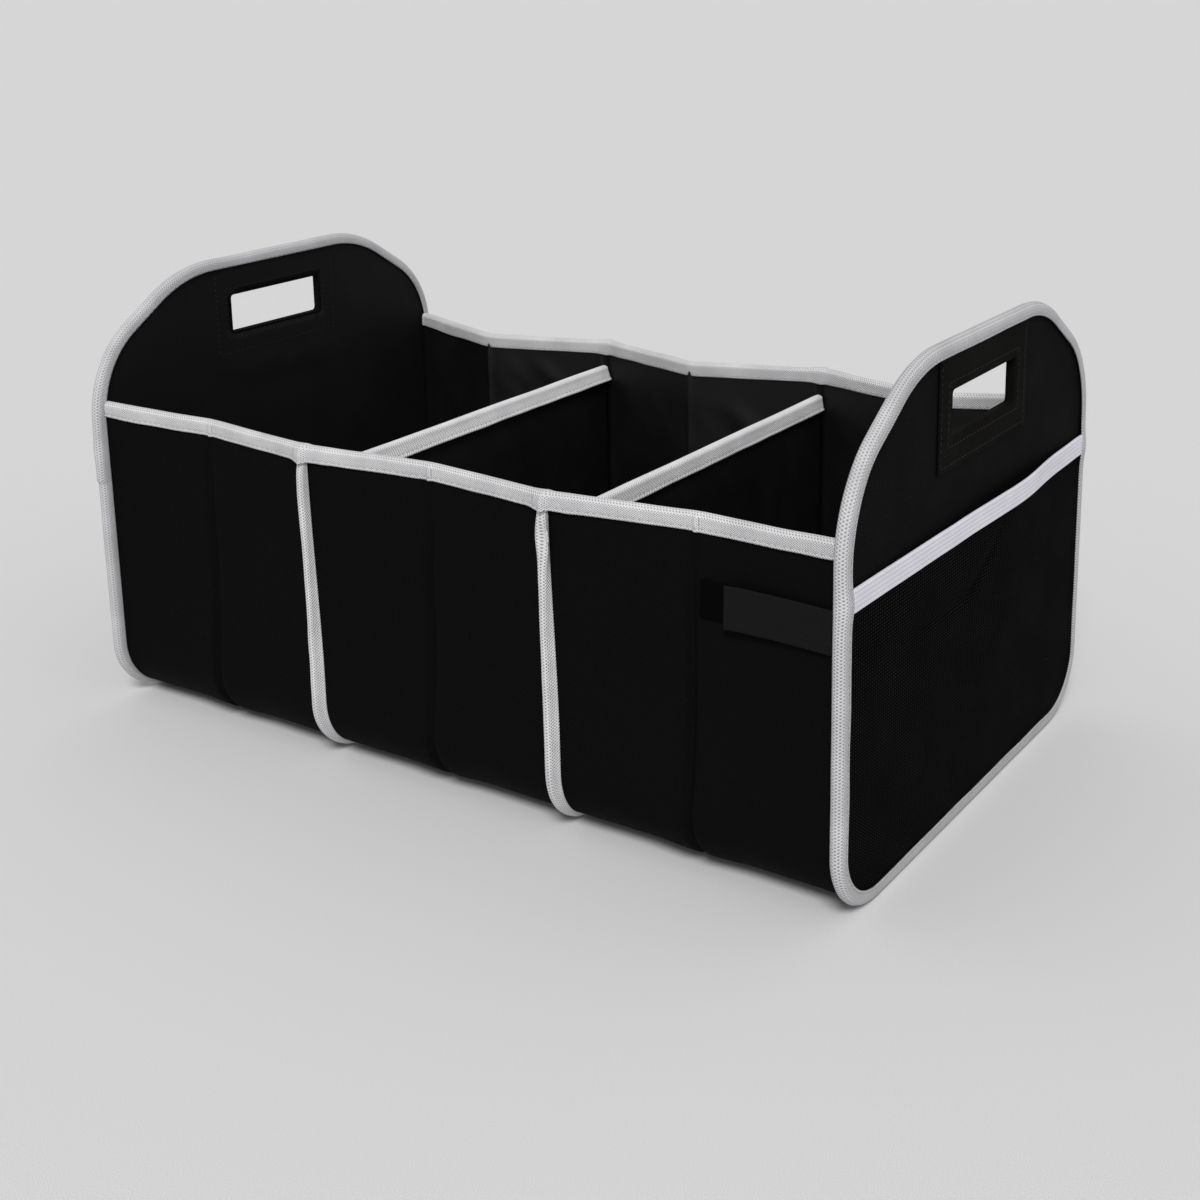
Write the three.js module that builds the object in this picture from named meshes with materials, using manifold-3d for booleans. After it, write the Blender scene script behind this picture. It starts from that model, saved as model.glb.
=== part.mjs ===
// Collapsible car trunk organizer: three open compartments in a row, sewn from black fabric over
// stiffener boards and edged with light woven tape. Two tall end panels have a hand hole and an
// elastic-topped mesh pocket. The front and back walls are pleated inwards at the middle of each
// compartment, where the organizer folds up. Millimetres, +Z up. +X runs along the length, -Y is
// the front. The origin is on the floor, under the middle of the organizer.

import * as THREE from "three";
import { mergeVertices } from "three/addons/utils/BufferGeometryUtils.js";
import Module from "manifold-3d";

// Overall sizes
const length = 500; // over the fabric faces of the two end panels
const width = 300; // over the front and back walls, at the dividers
const wallHeight = 190; // top edge of the front and back walls
const panelHeight = 264; // top of the end panels, over the tape
const dividerSpacing = 164; // between the two dividers
const dividerDrop = 18; // how far a divider's top stays below the walls' top

// Layers
const clearance = 0.3; // between layers that lie on each other
const fabric = 0.6;
const tape = 0.8;
const endBoard = 2;
const wallBoard = 2;
const dividerBoard = 2;
const baseBoard = 3;

// Shape of the end panels
const cornerRadius = 36; // where the walls turn under the bottom
const shoulderShare = 0.324; // of the rise over the walls, where a side turns towards the top
const shoulderStart = 4; // from the walls' top to the start of that turn
const crownWidth = 160; // of the flat top, before its corners are rounded
const crownRadius = 85;
const holeWidth = 82;
const holeHeight = 25;
const holeDrop = 25; // from the panel's top to the hole
const holeRadius = 2;

// Shape of the folded walls
const frontPleat = 8.5; // how far the middle of a compartment's front is drawn in
const backPleat = 24;
const pleatSoftness = 7; // half the width of the unboarded strip at a fold
const pleatFoot = 0.35; // share of the pleat that is left where the wall turns under
const pleatFadeHeight = 84; // above it, the pleat has its full depth
const seamMargin = 4; // flat strip of a wall beside each seam

// Seams and tape
const seamRise = 2; // how far a seam stands out under the bottom
const panelSeam = 6.5; // how far the end panels' seam stands out of the walls
const dividerSeam = 5.5;
const tapeWidth = 10; // as seen from one side
const panelTapeFoot = 11; // height of the tape along an end panel's bottom edge

// Handle patches, mesh pockets, closure straps and base boards
const patchWidth = 113;
const patchMargin = 16; // of the patch, under the hole
const pocketTop = 169;
const pocketBulge = 7;
const pocketTuck = 3; // how far the mesh reaches down behind the tape
const pocketRows = 8;
const elasticWidth = 12;
const elasticThickness = 1.3;
const elasticRib = 0.5; // depth of the grooves between the elastic's ribs
const elasticRibs = 4;
const strapLength = 58;
const strapWidth = 22;
const strapThickness = 1.4;
const strapLift = 3; // how far the strap's free end stands off
const strapHeight = 149; // of its middle line
const strapSteps = 4;
const padLength = 60;
const padWidth = 19;
const padThickness = 0.9;
const padSetback = 14; // from the strap's root to the pad
const basePlay = 2.5; // between a base board and what surrounds it
const baseCorner = 9;

// Positions that follow
const halfWidth = width / 2;
const bottom = seamRise;
const archLevel = bottom + cornerRadius;
const liningDepth = fabric + clearance + wallBoard + clearance + fabric;
const endX = length / 2;
const endInnerX = endX - 2 * fabric - 2 * clearance - endBoard;
const wallEndX = endInnerX - clearance;
const dividerX = dividerSpacing / 2;
const dividerTop = wallHeight - dividerDrop;
const dividerHalf = dividerBoard / 2 + clearance + fabric;
const tapeFoot = wallHeight - tapeWidth;
const turnedEdge = 1.5 * clearance; // of the seams' edges, which lie flat behind the top tape
const tapeStandOff = turnedEdge + 1.2 * clearance;
const pocketX = endX + clearance;
const outerLegX = pocketX + fabric + clearance;
const innerLegX = wallEndX - fabric - clearance - tape;
const crownLevel = panelHeight - panelSeam;
const shoulderHeight = wallHeight + shoulderShare * (panelHeight - wallHeight);
const shoulderSlope = Math.atan2(crownLevel - shoulderHeight, halfWidth - crownWidth / 2);
const shoulderTurn = Math.PI / 2 - shoulderSlope;
const shoulderRadius = (shoulderHeight - wallHeight - shoulderStart) / Math.tan(shoulderTurn / 2);
const holeFloor = panelHeight - holeDrop - holeHeight;
const patchFloor = holeFloor - patchMargin;

const finishes = {
  fabric: { color: 0x101010, roughness: 0.85, metalness: 0 },
  lining: { color: 0x0d0d0d, roughness: 0.9, metalness: 0 },
  patch: { color: 0x161513, roughness: 0.85, metalness: 0 },
  tape: { color: 0xbdbdbf, roughness: 0.8, metalness: 0 },
  elastic: { color: 0xd6d5dc, roughness: 0.75, metalness: 0 },
  mesh: { color: 0x141414, roughness: 0.8, metalness: 0 },
  strap: { color: 0x1b1b1c, roughness: 0.9, metalness: 0 },
  board: { color: 0x9c9080, roughness: 0.9, metalness: 0 },
};

const organizer = new THREE.Group();
organizer.name = "car_trunk_organizer";

function addPiece(name, geometry, finish) {
  const mesh = new THREE.Mesh(geometry, new THREE.MeshStandardMaterial(finishes[finish]));
  mesh.name = name;
  organizer.add(mesh);
}

// Solids by lofting: each ring is a closed list of points, and rings join one to the next.
function signedVolume(geometry) {
  const position = geometry.getAttribute("position");
  const index = geometry.getIndex();
  const corners = [new THREE.Vector3(), new THREE.Vector3(), new THREE.Vector3()];
  let sum = 0;
  for (let i = 0; i < index.count; i += 3) {
    corners.forEach((corner, k) => corner.fromBufferAttribute(position, index.getX(i + k)));
    sum += corners[0].dot(corners[1].cross(corners[2])) / 6;
  }
  return sum;
}

// Triangles that close one end of a loft, turned so that the ring is passed in the stated order
function capFaces(outline, offset, rising) {
  const faces = THREE.ShapeUtils.triangulateShape(outline, []);
  const follows = (a, b) => b === (a + 1) % outline.length;
  const rises = faces.some(([a, b, c]) => follows(a, b) || follows(b, c) || follows(c, a));
  const turned = rises === rising ? faces : faces.map(([a, b, c]) => [c, b, a]);
  return turned.map((face) => face.map((corner) => corner + offset));
}

// Each four-sided face is split along its shorter diagonal, so that layers side by side bend alike.
function loft(rings, section, closed = false) {
  const count = rings[0].length;
  const spans = closed ? rings.length : rings.length - 1;
  const points = rings.flat();
  const faces = [];
  for (let i = 0; i < spans; i++) {
    const here = i * count;
    const next = ((i + 1) % rings.length) * count;
    for (let j = 0; j < count; j++) {
      const [a, b, c, d] = [here + j, next + j, next + ((j + 1) % count), here + ((j + 1) % count)];
      const isShorterFromA = points[a].distanceTo(points[c]) < points[b].distanceTo(points[d]);
      faces.push(...(isShorterFromA ? [[a, b, c], [a, c, d]] : [[a, b, d], [b, c, d]]));
    }
  }
  if (!closed) {
    faces.push(...capFaces(rings[0].map(section), 0, true));
    faces.push(...capFaces(rings.at(-1).map(section), (rings.length - 1) * count, false));
  }
  const geometry = new THREE.BufferGeometry();
  geometry.setFromPoints(points);
  geometry.setIndex(faces.flat());
  if (signedVolume(geometry) < 0) geometry.setIndex(faces.flatMap(([a, b, c]) => [c, b, a]));
  geometry.computeVertexNormals();
  return geometry;
}

const inYZ = (p) => new THREE.Vector2(p.y, p.z);
const inXZ = (p) => new THREE.Vector2(p.x, p.z);
const inXY = (p) => new THREE.Vector2(p.x, p.y);
const upright = (x) => ([y, z]) => new THREE.Vector3(x, y, z);

// An outline with rounded corners: [y, z, radius] for each corner, in order round the shape.
function roundedOutline(corners, steps) {
  return corners.flatMap(([y, z, radius], i) => {
    if (!radius) return [[y, z]];
    const before = corners[(i + corners.length - 1) % corners.length];
    const after = corners[(i + 1) % corners.length];
    const corner = new THREE.Vector2(y, z);
    const arriving = corner.clone().sub(new THREE.Vector2(before[0], before[1])).normalize();
    const leaving = new THREE.Vector2(after[0], after[1]).sub(corner).normalize();
    const turn = Math.atan2(arriving.cross(leaving), arriving.dot(leaving));
    const reach = radius * Math.tan(Math.abs(turn) / 2);
    const start = corner.clone().addScaledVector(arriving, -reach);
    const inward = new THREE.Vector2(-arriving.y, arriving.x).multiplyScalar(Math.sign(turn));
    const centre = start.clone().addScaledVector(inward, radius);
    return Array.from({ length: steps + 1 }, (_, k) => {
      const point = start.clone().rotateAround(centre, (turn * k) / steps);
      return [point.x, point.y];
    });
  });
}

// The end panel's outline, moved out by side at its sides and top, and by foot at its bottom.
function panelOutline(side, foot, steps = 5) {
  const y = halfWidth + side;
  const floor = bottom - foot;
  const turned = cornerRadius + (side + foot) / 2;
  const shoulder = shoulderHeight + side * Math.tan(shoulderTurn / 2);
  const crown = crownWidth / 2 + side * Math.tan(shoulderSlope / 2);
  return roundedOutline(
    [
      [-y, floor, turned],
      [y, floor, turned],
      [y, wallHeight + clearance, 0],
      [y, wallHeight + 2 * clearance, 0],
      [y, shoulder, shoulderRadius + side],
      [crown, crownLevel + side, crownRadius + side],
      [-crown, crownLevel + side, crownRadius + side],
      [-y, shoulder, shoulderRadius + side],
      [-y, wallHeight + 2 * clearance, 0],
      [-y, wallHeight + clearance, 0],
    ],
    steps
  );
}

// How far a compartment's wall is drawn in at x: 0 beside its seams, 1 at its middle fold.
function pleatAt(x, bay) {
  const span = bay.middle - bay.start - seamMargin;
  const away = Math.abs(x - bay.middle);
  if (away > span) return 0;
  if (away > pleatSoftness) return 1 - away / span;
  return 1 - (pleatSoftness / span) * (0.5 + 0.5 * (away / pleatSoftness) ** 2);
}

const pleatFade = (z) =>
  pleatFoot + (1 - pleatFoot) * THREE.MathUtils.clamp((z - archLevel) / (pleatFadeHeight - archLevel), 0, 1);

const frontY = (x, z, bay) => -halfWidth + frontPleat * pleatAt(x, bay) * pleatFade(z);
const backY = (x, z, bay) => halfWidth - backPleat * pleatAt(x, bay) * pleatFade(z);

// The line of a wall from its front top edge, under the bottom, to its back top edge.
// side, foot and high move it out at the sides, at the bottom, and behind the top tape.
function wallLine(x, bay, side, foot = side, high = side) {
  const radius = cornerRadius + (side + foot) / 2;
  const arch = bottom - foot + radius;
  const levels = [
    [wallHeight, high],
    [tapeFoot - clearance, high],
    [tapeFoot - 3 * clearance, side],
    [pleatFadeHeight, side],
    [(pleatFadeHeight + archLevel) / 2, side],
  ];
  const front = levels.map(([z, out]) => [frontY(x, z, bay) - out, z]);
  const back = levels.map(([z, out]) => [backY(x, z, bay) + out, z]).reverse();
  const frontFoot = [frontY(x, archLevel, bay) - side, bottom - foot, radius];
  const backFoot = [backY(x, archLevel, bay) + side, bottom - foot, radius];
  const arcs = roundedOutline([[frontFoot[0], arch, 0], frontFoot, backFoot, [backFoot[0], arch, 0]], 5);
  return [...front, ...arcs.slice(1, -1), ...back];
}

// A closed band between two wall lines at x.
const band = (x, bay, outer, inner) =>
  [...wallLine(x, bay, ...outer), ...wallLine(x, bay, ...inner).reverse()].map(upright(x));

// The three compartments, from left to right, with the places of their seams
const seamHalf = fabric + clearance;
const bays = [
  { name: "left", start: -wallEndX, end: -dividerX - seamHalf },
  { name: "middle", start: -dividerX + seamHalf, end: dividerX - seamHalf },
  { name: "right", start: dividerX + seamHalf, end: wallEndX },
];
for (const bay of bays) bay.middle = (bay.start + bay.end) / 2;

function foldStations(bay) {
  const fold = [-1, -0.5, 0, 0.5, 1].map((share) => bay.middle + share * pleatSoftness);
  return [bay.start + seamMargin, ...fold, bay.end - seamMargin];
}

// Walls: outer fabric with its seam allowances turned out, boards, lining
function outerFabric(bay) {
  const isLeftEnd = bay.start < -dividerX;
  const isRightEnd = bay.end > dividerX;
  const allowance = (atPanel) => (atPanel ? panelSeam : dividerSeam) - tape - clearance;
  const skin = (x) => band(x, bay, [0], [-fabric]);
  const flange = (x, atPanel) =>
    band(x, bay, [allowance(atPanel), seamRise - tape - clearance, turnedEdge], [-fabric]);
  const rings = [
    flange(bay.start, isLeftEnd),
    flange(bay.start + fabric, isLeftEnd),
    skin(bay.start + fabric),
    ...foldStations(bay).map(skin),
    skin(bay.end - fabric),
    flange(bay.end - fabric, isRightEnd),
    flange(bay.end, isRightEnd),
  ];
  return loft(rings, inYZ);
}

function lining(bay) {
  const outer = -(liningDepth - fabric);
  const stations = [bay.start, ...foldStations(bay), bay.end];
  return loft(stations.map((x) => band(x, bay, [outer], [-liningDepth])), inYZ);
}

function wallStiffener(bay, lineAt, outward, from, to) {
  const near = fabric + clearance;
  const far = near + wallBoard;
  const levels = [wallHeight - 2 * tape, pleatFadeHeight, (pleatFadeHeight + archLevel) / 2, archLevel];
  const ring = (x) => [
    ...levels.map((z) => new THREE.Vector3(x, lineAt(x, z, bay) - outward * near, z)),
    ...levels.map((z) => new THREE.Vector3(x, lineAt(x, z, bay) - outward * far, z)).reverse(),
  ];
  return loft([ring(from), ring(to)], inYZ);
}

for (const bay of bays) {
  addPiece(bay.name + "_bay_outer_fabric", outerFabric(bay), "fabric");
  addPiece(bay.name + "_bay_lining", lining(bay), "lining");
  const halves = [
    ["a", bay.start + seamMargin, bay.middle - pleatSoftness],
    ["b", bay.middle + pleatSoftness, bay.end - seamMargin],
  ];
  for (const [half, from, to] of halves) {
    const front = wallStiffener(bay, frontY, -1, from, to);
    const back = wallStiffener(bay, backY, 1, from, to);
    addPiece(bay.name + "_bay_front_board_" + half, front, "board");
    addPiece(bay.name + "_bay_back_board_" + half, back, "board");
  }
}

// Loose base boards, one in each compartment, lying on the lining
function roundedPlate(x0, x1, y0, y1, z0, thickness, radius) {
  const outline = roundedOutline(
    [
      [x0, y0, radius],
      [x1, y0, radius],
      [x1, y1, radius],
      [x0, y1, radius],
    ],
    4
  );
  const ring = (z) => outline.map(([x, y]) => new THREE.Vector3(x, y, z));
  return loft([ring(z0), ring(z0 + thickness)], inXY);
}

for (const bay of bays) {
  const inset = (atPanel) => (atPanel ? clearance : dividerHalf - seamHalf) + basePlay;
  const x0 = bay.start + inset(bay.start < -dividerX);
  const x1 = bay.end - inset(bay.end > dividerX);
  const y0 = -halfWidth + frontPleat * pleatFoot + cornerRadius;
  const y1 = halfWidth - backPleat * pleatFoot - cornerRadius;
  const rest = bottom + liningDepth + clearance;
  addPiece(bay.name + "_base_board", roundedPlate(x0, x1, y0, y1, rest, baseBoard, baseCorner), "lining");
}

// Booleans
const wasm = await Module();
wasm.setup();

function toSolid(geometry) {
  const bare = geometry.clone();
  bare.deleteAttribute("normal");
  bare.deleteAttribute("uv");
  const merged = mergeVertices(bare, 1e-4);
  const mesh = new wasm.Mesh({
    numProp: 3,
    vertProperties: merged.getAttribute("position").array,
    triVerts: new Uint32Array(merged.getIndex().array),
  });
  return new wasm.Manifold(mesh);
}

function toGeometry(solid) {
  const mesh = solid.getMesh();
  const geometry = new THREE.BufferGeometry();
  geometry.setAttribute("position", new THREE.BufferAttribute(mesh.vertProperties, 3));
  geometry.setIndex(new THREE.BufferAttribute(mesh.triVerts, 1));
  geometry.computeVertexNormals();
  return geometry;
}

// A flat layer: an outline in the YZ plane, from one x to another, with holes if it has any
function layer(outline, from, to, holes = []) {
  const shape = new THREE.Shape(outline.map(([y, z]) => new THREE.Vector2(y, z)));
  shape.holes = holes.map((hole) => new THREE.Path(hole.map(([y, z]) => new THREE.Vector2(y, z))));
  const depth = Math.abs(to - from);
  const geometry = new THREE.ExtrudeGeometry(shape, { depth, bevelEnabled: false });
  // The shape's x and y become Y and Z, and the extrusion runs along X.
  const turn = new THREE.Matrix4().makeBasis(
    new THREE.Vector3(0, 1, 0),
    new THREE.Vector3(0, 0, 1),
    new THREE.Vector3(1, 0, 0)
  );
  geometry.applyMatrix4(turn);
  geometry.translate(Math.min(from, to), 0, 0);
  return geometry;
}

const rectangle = (y0, y1, z0, z1, radius) =>
  roundedOutline(
    [
      [y0, z0, radius],
      [y1, z0, radius],
      [y1, z1, radius],
      [y0, z1, radius],
    ],
    2
  );

// Dividers: a fabric sleeve sewn shut round its edge, with a board slid in from the top
const bayAtDivider = bays[1];

function dividerOutline(offset, top) {
  const line = wallLine(bayAtDivider.start, bayAtDivider, offset);
  const low = line.filter(([, z]) => z < (pleatFadeHeight + archLevel) / 2 + clearance);
  return [[low[0][0], top], ...low, [low.at(-1)[0], top]];
}

function dividerSleeve(x) {
  const edge = -(liningDepth + clearance);
  const inner = edge - 2 * fabric;
  const body = toSolid(layer(dividerOutline(edge, dividerTop), x - dividerHalf, x + dividerHalf));
  const room = dividerBoard / 2 + clearance;
  const pocket = toSolid(layer(dividerOutline(inner + clearance, wallHeight), x - room, x + room));
  const margin = fabric;
  const allowance = [dividerSeam - tape - clearance, seamRise - tape - clearance, turnedEdge];
  const webEdge = [edge - fabric, edge - fabric, -liningDepth];
  const webRing = (at) => band(bayAtDivider.start, bayAtDivider, allowance, webEdge).map((p) => p.setX(at));
  const web = toSolid(loft([webRing(x - margin), webRing(x + margin)], inYZ));
  return toGeometry(web.add(body).subtract(pocket));
}

const channelSection = (half, legs, foot, top) => [
  [-half, foot],
  [-half, top],
  [half, top],
  [half, foot],
  [half - legs, foot],
  [half - legs, top - legs],
  [-half + legs, top - legs],
  [-half + legs, foot],
];

function dividerTape(x) {
  const half = dividerHalf + clearance + tape;
  const top = dividerTop + clearance + tape;
  const reach = halfWidth - liningDepth - clearance - fabric - clearance;
  const section = channelSection(half, tape, dividerTop - tapeWidth, top);
  const ring = (y) => section.map(([dx, z]) => new THREE.Vector3(x + dx, y, z));
  return loft([ring(-reach), ring(reach)], inXZ);
}

// The tape round a divider's seam: down the front, under the bottom and up the back
function dividerSeamTape(x) {
  const half = fabric + clearance + fabric + clearance + tape;
  const at = (side, foot) =>
    wallLine(bayAtDivider.start, bayAtDivider, side, foot).slice(2, -2);
  const outer = at(dividerSeam, seamRise);
  const web = at(dividerSeam - tape, seamRise - tape);
  const tip = at(clearance, clearance);
  const point = ([y, z], dx) => new THREE.Vector3(x + dx, y, z);
  const rings = outer.map((_, i) => [
    point(outer[i], -half),
    point(outer[i], half),
    point(tip[i], half),
    point(tip[i], half - tape),
    point(web[i], half - tape),
    point(web[i], -half + tape),
    point(tip[i], -half + tape),
    point(tip[i], -half),
  ]);
  return loft(rings, (p) => new THREE.Vector2(p.x, p.y));
}

for (const [name, x] of [
  ["left", -dividerX],
  ["right", dividerX],
]) {
  const edge = -(liningDepth + clearance) - 2 * fabric;
  const board = layer(dividerOutline(edge, dividerTop - tape), x - dividerBoard / 2, x + dividerBoard / 2);
  addPiece(name + "_divider_board", board, "board");
  addPiece(name + "_divider_sleeve", dividerSleeve(x), "lining");
  addPiece(name + "_divider_top_tape", dividerTape(x), "tape");
  addPiece(name + "_divider_seam_tape", dividerSeamTape(x), "tape");
}

// Tape folded over the top edge of the front and back walls, in one run from end to end
function wallTopTape(lineAt, outward) {
  const reach = innerLegX - clearance;
  const rings = [];
  for (const bay of bays) {
    const stations = foldStations(bay);
    if (bay === bays[0]) stations.unshift(-reach);
    if (bay === bays.at(-1)) stations.push(reach);
    for (const x of stations) {
      const y = lineAt(x, wallHeight, bay);
      const outer = tapeStandOff + tape;
      const inner = -(liningDepth + clearance + tape);
      const section = [
        [outer, tapeFoot],
        [outer, wallHeight + clearance + tape],
        [inner, wallHeight + clearance + tape],
        [inner, tapeFoot],
        [inner + tape, tapeFoot],
        [inner + tape, wallHeight + clearance],
        [outer - tape, wallHeight + clearance],
        [outer - tape, tapeFoot],
      ];
      rings.push(section.map(([out, z]) => new THREE.Vector3(x, y + outward * out, z)));
    }
  }
  return loft(rings, inYZ);
}

addPiece("front_top_tape", wallTopTape(frontY, -1), "tape");
addPiece("back_top_tape", wallTopTape(backY, 1), "tape");

// End panels: outer fabric, board and inner fabric, with a hand hole through all of them
const hole = rectangle(-holeWidth / 2, holeWidth / 2, holeFloor, holeFloor + holeHeight, holeRadius);

function panelTape(side) {
  const outer = panelOutline(panelSeam, seamRise);
  const web = panelOutline(panelSeam - tape, seamRise - tape);
  const faceTip = panelOutline(panelSeam - tapeWidth, seamRise - panelTapeFoot);
  const wallTip = panelOutline(clearance, clearance);
  const point = ([y, z], x) => new THREE.Vector3(side * x, y, z);
  const rings = outer.map((_, i) => {
    const isAboveWall = outer[i][1] > wallHeight + 1.5 * clearance;
    const tip = isAboveWall ? faceTip[i] : wallTip[i];
    return [
      point(outer[i], innerLegX),
      point(outer[i], outerLegX + tape),
      point(faceTip[i], outerLegX + tape),
      point(faceTip[i], outerLegX),
      point(web[i], outerLegX),
      point(web[i], innerLegX + tape),
      point(tip, innerLegX + tape),
      point(tip, innerLegX),
    ];
  });
  return loft(rings, inYZ, true);
}

// The mesh pocket: a sheet held at its sides and bottom by the tape, bowed out at its free top
function pocketReach(z, side) {
  const rise = Math.min(z - bottom + side, cornerRadius + side);
  const radius = cornerRadius + side;
  return halfWidth + side - radius + Math.sqrt(Math.max(radius ** 2 - (radius - rise) ** 2, 0));
}

const pocketHeld = panelSeam - tapeWidth;
const pocketSill = panelTapeFoot + 1;

function pocketBow(y, z) {
  const across = THREE.MathUtils.clamp(1 - (y / (halfWidth + pocketHeld - 1)) ** 2, 0, 1);
  const up = THREE.MathUtils.clamp((z - pocketSill) / (pocketTop - pocketSill), 0, 1);
  return pocketBulge * across ** 1.5 * up ** 0.8;
}

function meshPocket(side) {
  const columns = 14;
  // The rows stand closer together at the rounded corners.
  const rise = (i) => pocketSill + (pocketTop - pocketSill) * (i / pocketRows) ** 1.3;
  const rows = Array.from({ length: pocketRows + 1 }, (_, i) => rise(i));
  const rings = [panelTapeFoot - pocketTuck, ...rows].map((z) => {
    const edge = Math.min(pocketReach(z, 1), halfWidth + 1);
    const ys = Array.from({ length: columns + 1 }, (_, i) => edge * ((2 * i) / columns - 1));
    const out = (y, more) => new THREE.Vector3(side * (pocketX + pocketBow(y, z) + more), y, z);
    return [...ys.map((y) => out(y, fabric)), ...ys.map((y) => out(y, 0)).reverse()];
  });
  return loft(rings, inXY);
}

function pocketElastic(side) {
  const steps = 16;
  const reach = halfWidth + pocketHeld - clearance;
  const foot = pocketTop - elasticWidth;
  const edges = 2 * elasticRibs;
  const ribbed = Array.from({ length: edges + 1 }, (_, i) => [
    elasticThickness - (i % 2 ? 0 : elasticRib),
    foot + (elasticWidth * i) / edges,
  ]);
  const rings = Array.from({ length: steps + 1 }, (_, i) => {
    const y = reach * ((2 * i) / steps - 1);
    const base = (z) => pocketX + fabric + clearance + pocketBow(y, z);
    const back = ribbed.map(([, z]) => new THREE.Vector3(side * base(z), y, z)).reverse();
    const front = ribbed.map(([out, z]) => new THREE.Vector3(side * (base(z) + out), y, z));
    return [...front, ...back];
  });
  return loft(rings, inXZ);
}

for (const [name, side] of [
  ["left", -1],
  ["right", 1],
]) {
  const allowance = panelOutline(panelSeam - tape - clearance, seamRise - tape - clearance);
  const boardEdge = panelOutline(-fabric, -fabric);
  const boardX = endX - fabric - clearance;
  const outerFace = layer(allowance, side * (endX - fabric), side * endX, [hole]);
  const board = layer(boardEdge, side * (boardX - endBoard), side * boardX, [hole]);
  const innerFace = layer(allowance, side * endInnerX, side * (endInnerX + fabric), [hole]);
  const crown = panelHeight - tape - 2 * clearance;
  const patch = rectangle(-patchWidth / 2, patchWidth / 2, patchFloor, crown, 1);
  addPiece(name + "_end_outer_fabric", outerFace, "fabric");
  addPiece(name + "_end_board", board, "board");
  addPiece(name + "_end_inner_fabric", innerFace, "lining");
  addPiece(name + "_end_tape", panelTape(side), "tape");
  addPiece(name + "_handle_patch", layer(patch, side * pocketX, side * (pocketX + fabric), [hole]), "patch");
  addPiece(name + "_mesh_pocket", meshPocket(side), "mesh");
  addPiece(name + "_pocket_elastic", pocketElastic(side), "elastic");
}

// Closure straps: each comes out of the right end panel's seam and lies on its loop pad
const strapRoot = innerLegX - clearance;
const strapEnd = strapRoot - strapLength;

function wallStrip(lineAt, outward, ends, breadth, thickness, standOff) {
  const folds = foldStations(bays.at(-1)).filter((x) => x > ends[0] && x < ends.at(-1));
  const stations = [...ends, ...folds].sort((a, b) => a - b);
  const rings = stations.map((x) => {
    const near = lineAt(x, strapHeight, bays.at(-1)) + outward * standOff(x);
    const far = near + outward * thickness;
    const foot = strapHeight - breadth / 2;
    return [upright(x)([near, foot]), upright(x)([far, foot]), upright(x)([far, foot + breadth])].concat(
      upright(x)([near, foot + breadth])
    );
  });
  return loft(rings, inYZ);
}

for (const [name, lineAt, outward] of [
  ["front", frontY, -1],
  ["back", backY, 1],
]) {
  const padRoot = strapRoot - padSetback;
  const padEnds = [padRoot - padLength, padRoot];
  const overPad = clearance + padThickness + clearance;
  const lift = (x) => overPad + strapLift * ((strapRoot - x) / strapLength) ** 2;
  const strapAt = (share) => strapEnd + strapLength * share;
  const strapStations = Array.from({ length: strapSteps + 1 }, (_, i) => strapAt(i / strapSteps));
  const pad = wallStrip(lineAt, outward, padEnds, padWidth, padThickness, () => clearance);
  const strap = wallStrip(lineAt, outward, strapStations, strapWidth, strapThickness, lift);
  addPiece(name + "_strap_pad", pad, "patch");
  addPiece(name + "_closure_strap", strap, "strap");
}

export default organizer;
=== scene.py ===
"""Collapsible car trunk organizer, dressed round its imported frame.

Black woven cloth over stiffener boards, light binding tape on every edge, three
compartments, two tall end panels with a hand hole, a mesh pocket on each end and closure
straps at the right-hand end. Metres, +Z up. +X runs along the length, -Y is the front.
"""

import logging
import math
from bisect import bisect_right
from dataclasses import dataclass, field
from enum import Enum, IntEnum
from typing import Callable, ClassVar, Iterable, Sequence

import bmesh
import bpy
from bmesh.types import BMesh, BMEdge, BMVert
from bpy.types import Material, Node, NodeSocket, NodeTree, Object
from mathutils import Matrix, Vector, noise
from mathutils.bvhtree import BVHTree


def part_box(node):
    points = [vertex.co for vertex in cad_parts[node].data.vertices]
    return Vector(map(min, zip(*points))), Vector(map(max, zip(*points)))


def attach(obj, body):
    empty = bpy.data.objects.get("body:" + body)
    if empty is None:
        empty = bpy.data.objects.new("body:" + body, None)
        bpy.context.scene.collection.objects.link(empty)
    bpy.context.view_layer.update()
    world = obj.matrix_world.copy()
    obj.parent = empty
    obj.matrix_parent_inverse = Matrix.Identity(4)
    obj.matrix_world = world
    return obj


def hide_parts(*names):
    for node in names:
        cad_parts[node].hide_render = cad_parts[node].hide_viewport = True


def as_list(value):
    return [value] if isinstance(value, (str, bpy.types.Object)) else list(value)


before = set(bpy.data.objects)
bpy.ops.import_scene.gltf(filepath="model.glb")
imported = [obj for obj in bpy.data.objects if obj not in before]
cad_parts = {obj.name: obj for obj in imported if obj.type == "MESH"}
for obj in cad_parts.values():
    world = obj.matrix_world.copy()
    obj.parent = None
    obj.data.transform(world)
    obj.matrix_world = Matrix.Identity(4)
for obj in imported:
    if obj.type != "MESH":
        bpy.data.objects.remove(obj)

log = logging.getLogger("trunk_organizer")

MM = 0.001
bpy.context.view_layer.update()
DOWN = Vector((0, 0, -1))
UP = Vector((0, 0, 1))


# Helpers for materials


PLUS = {"operation": "ADD"}
TIMES = {"operation": "MULTIPLY"}
TIMES_PLUS = {"operation": "MULTIPLY_ADD"}
SINE = {"operation": "SINE"}
COLOURS = {"data_type": "RGBA"}
SURFACE_MAP = {"uv_map": "UVMap"}


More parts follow.
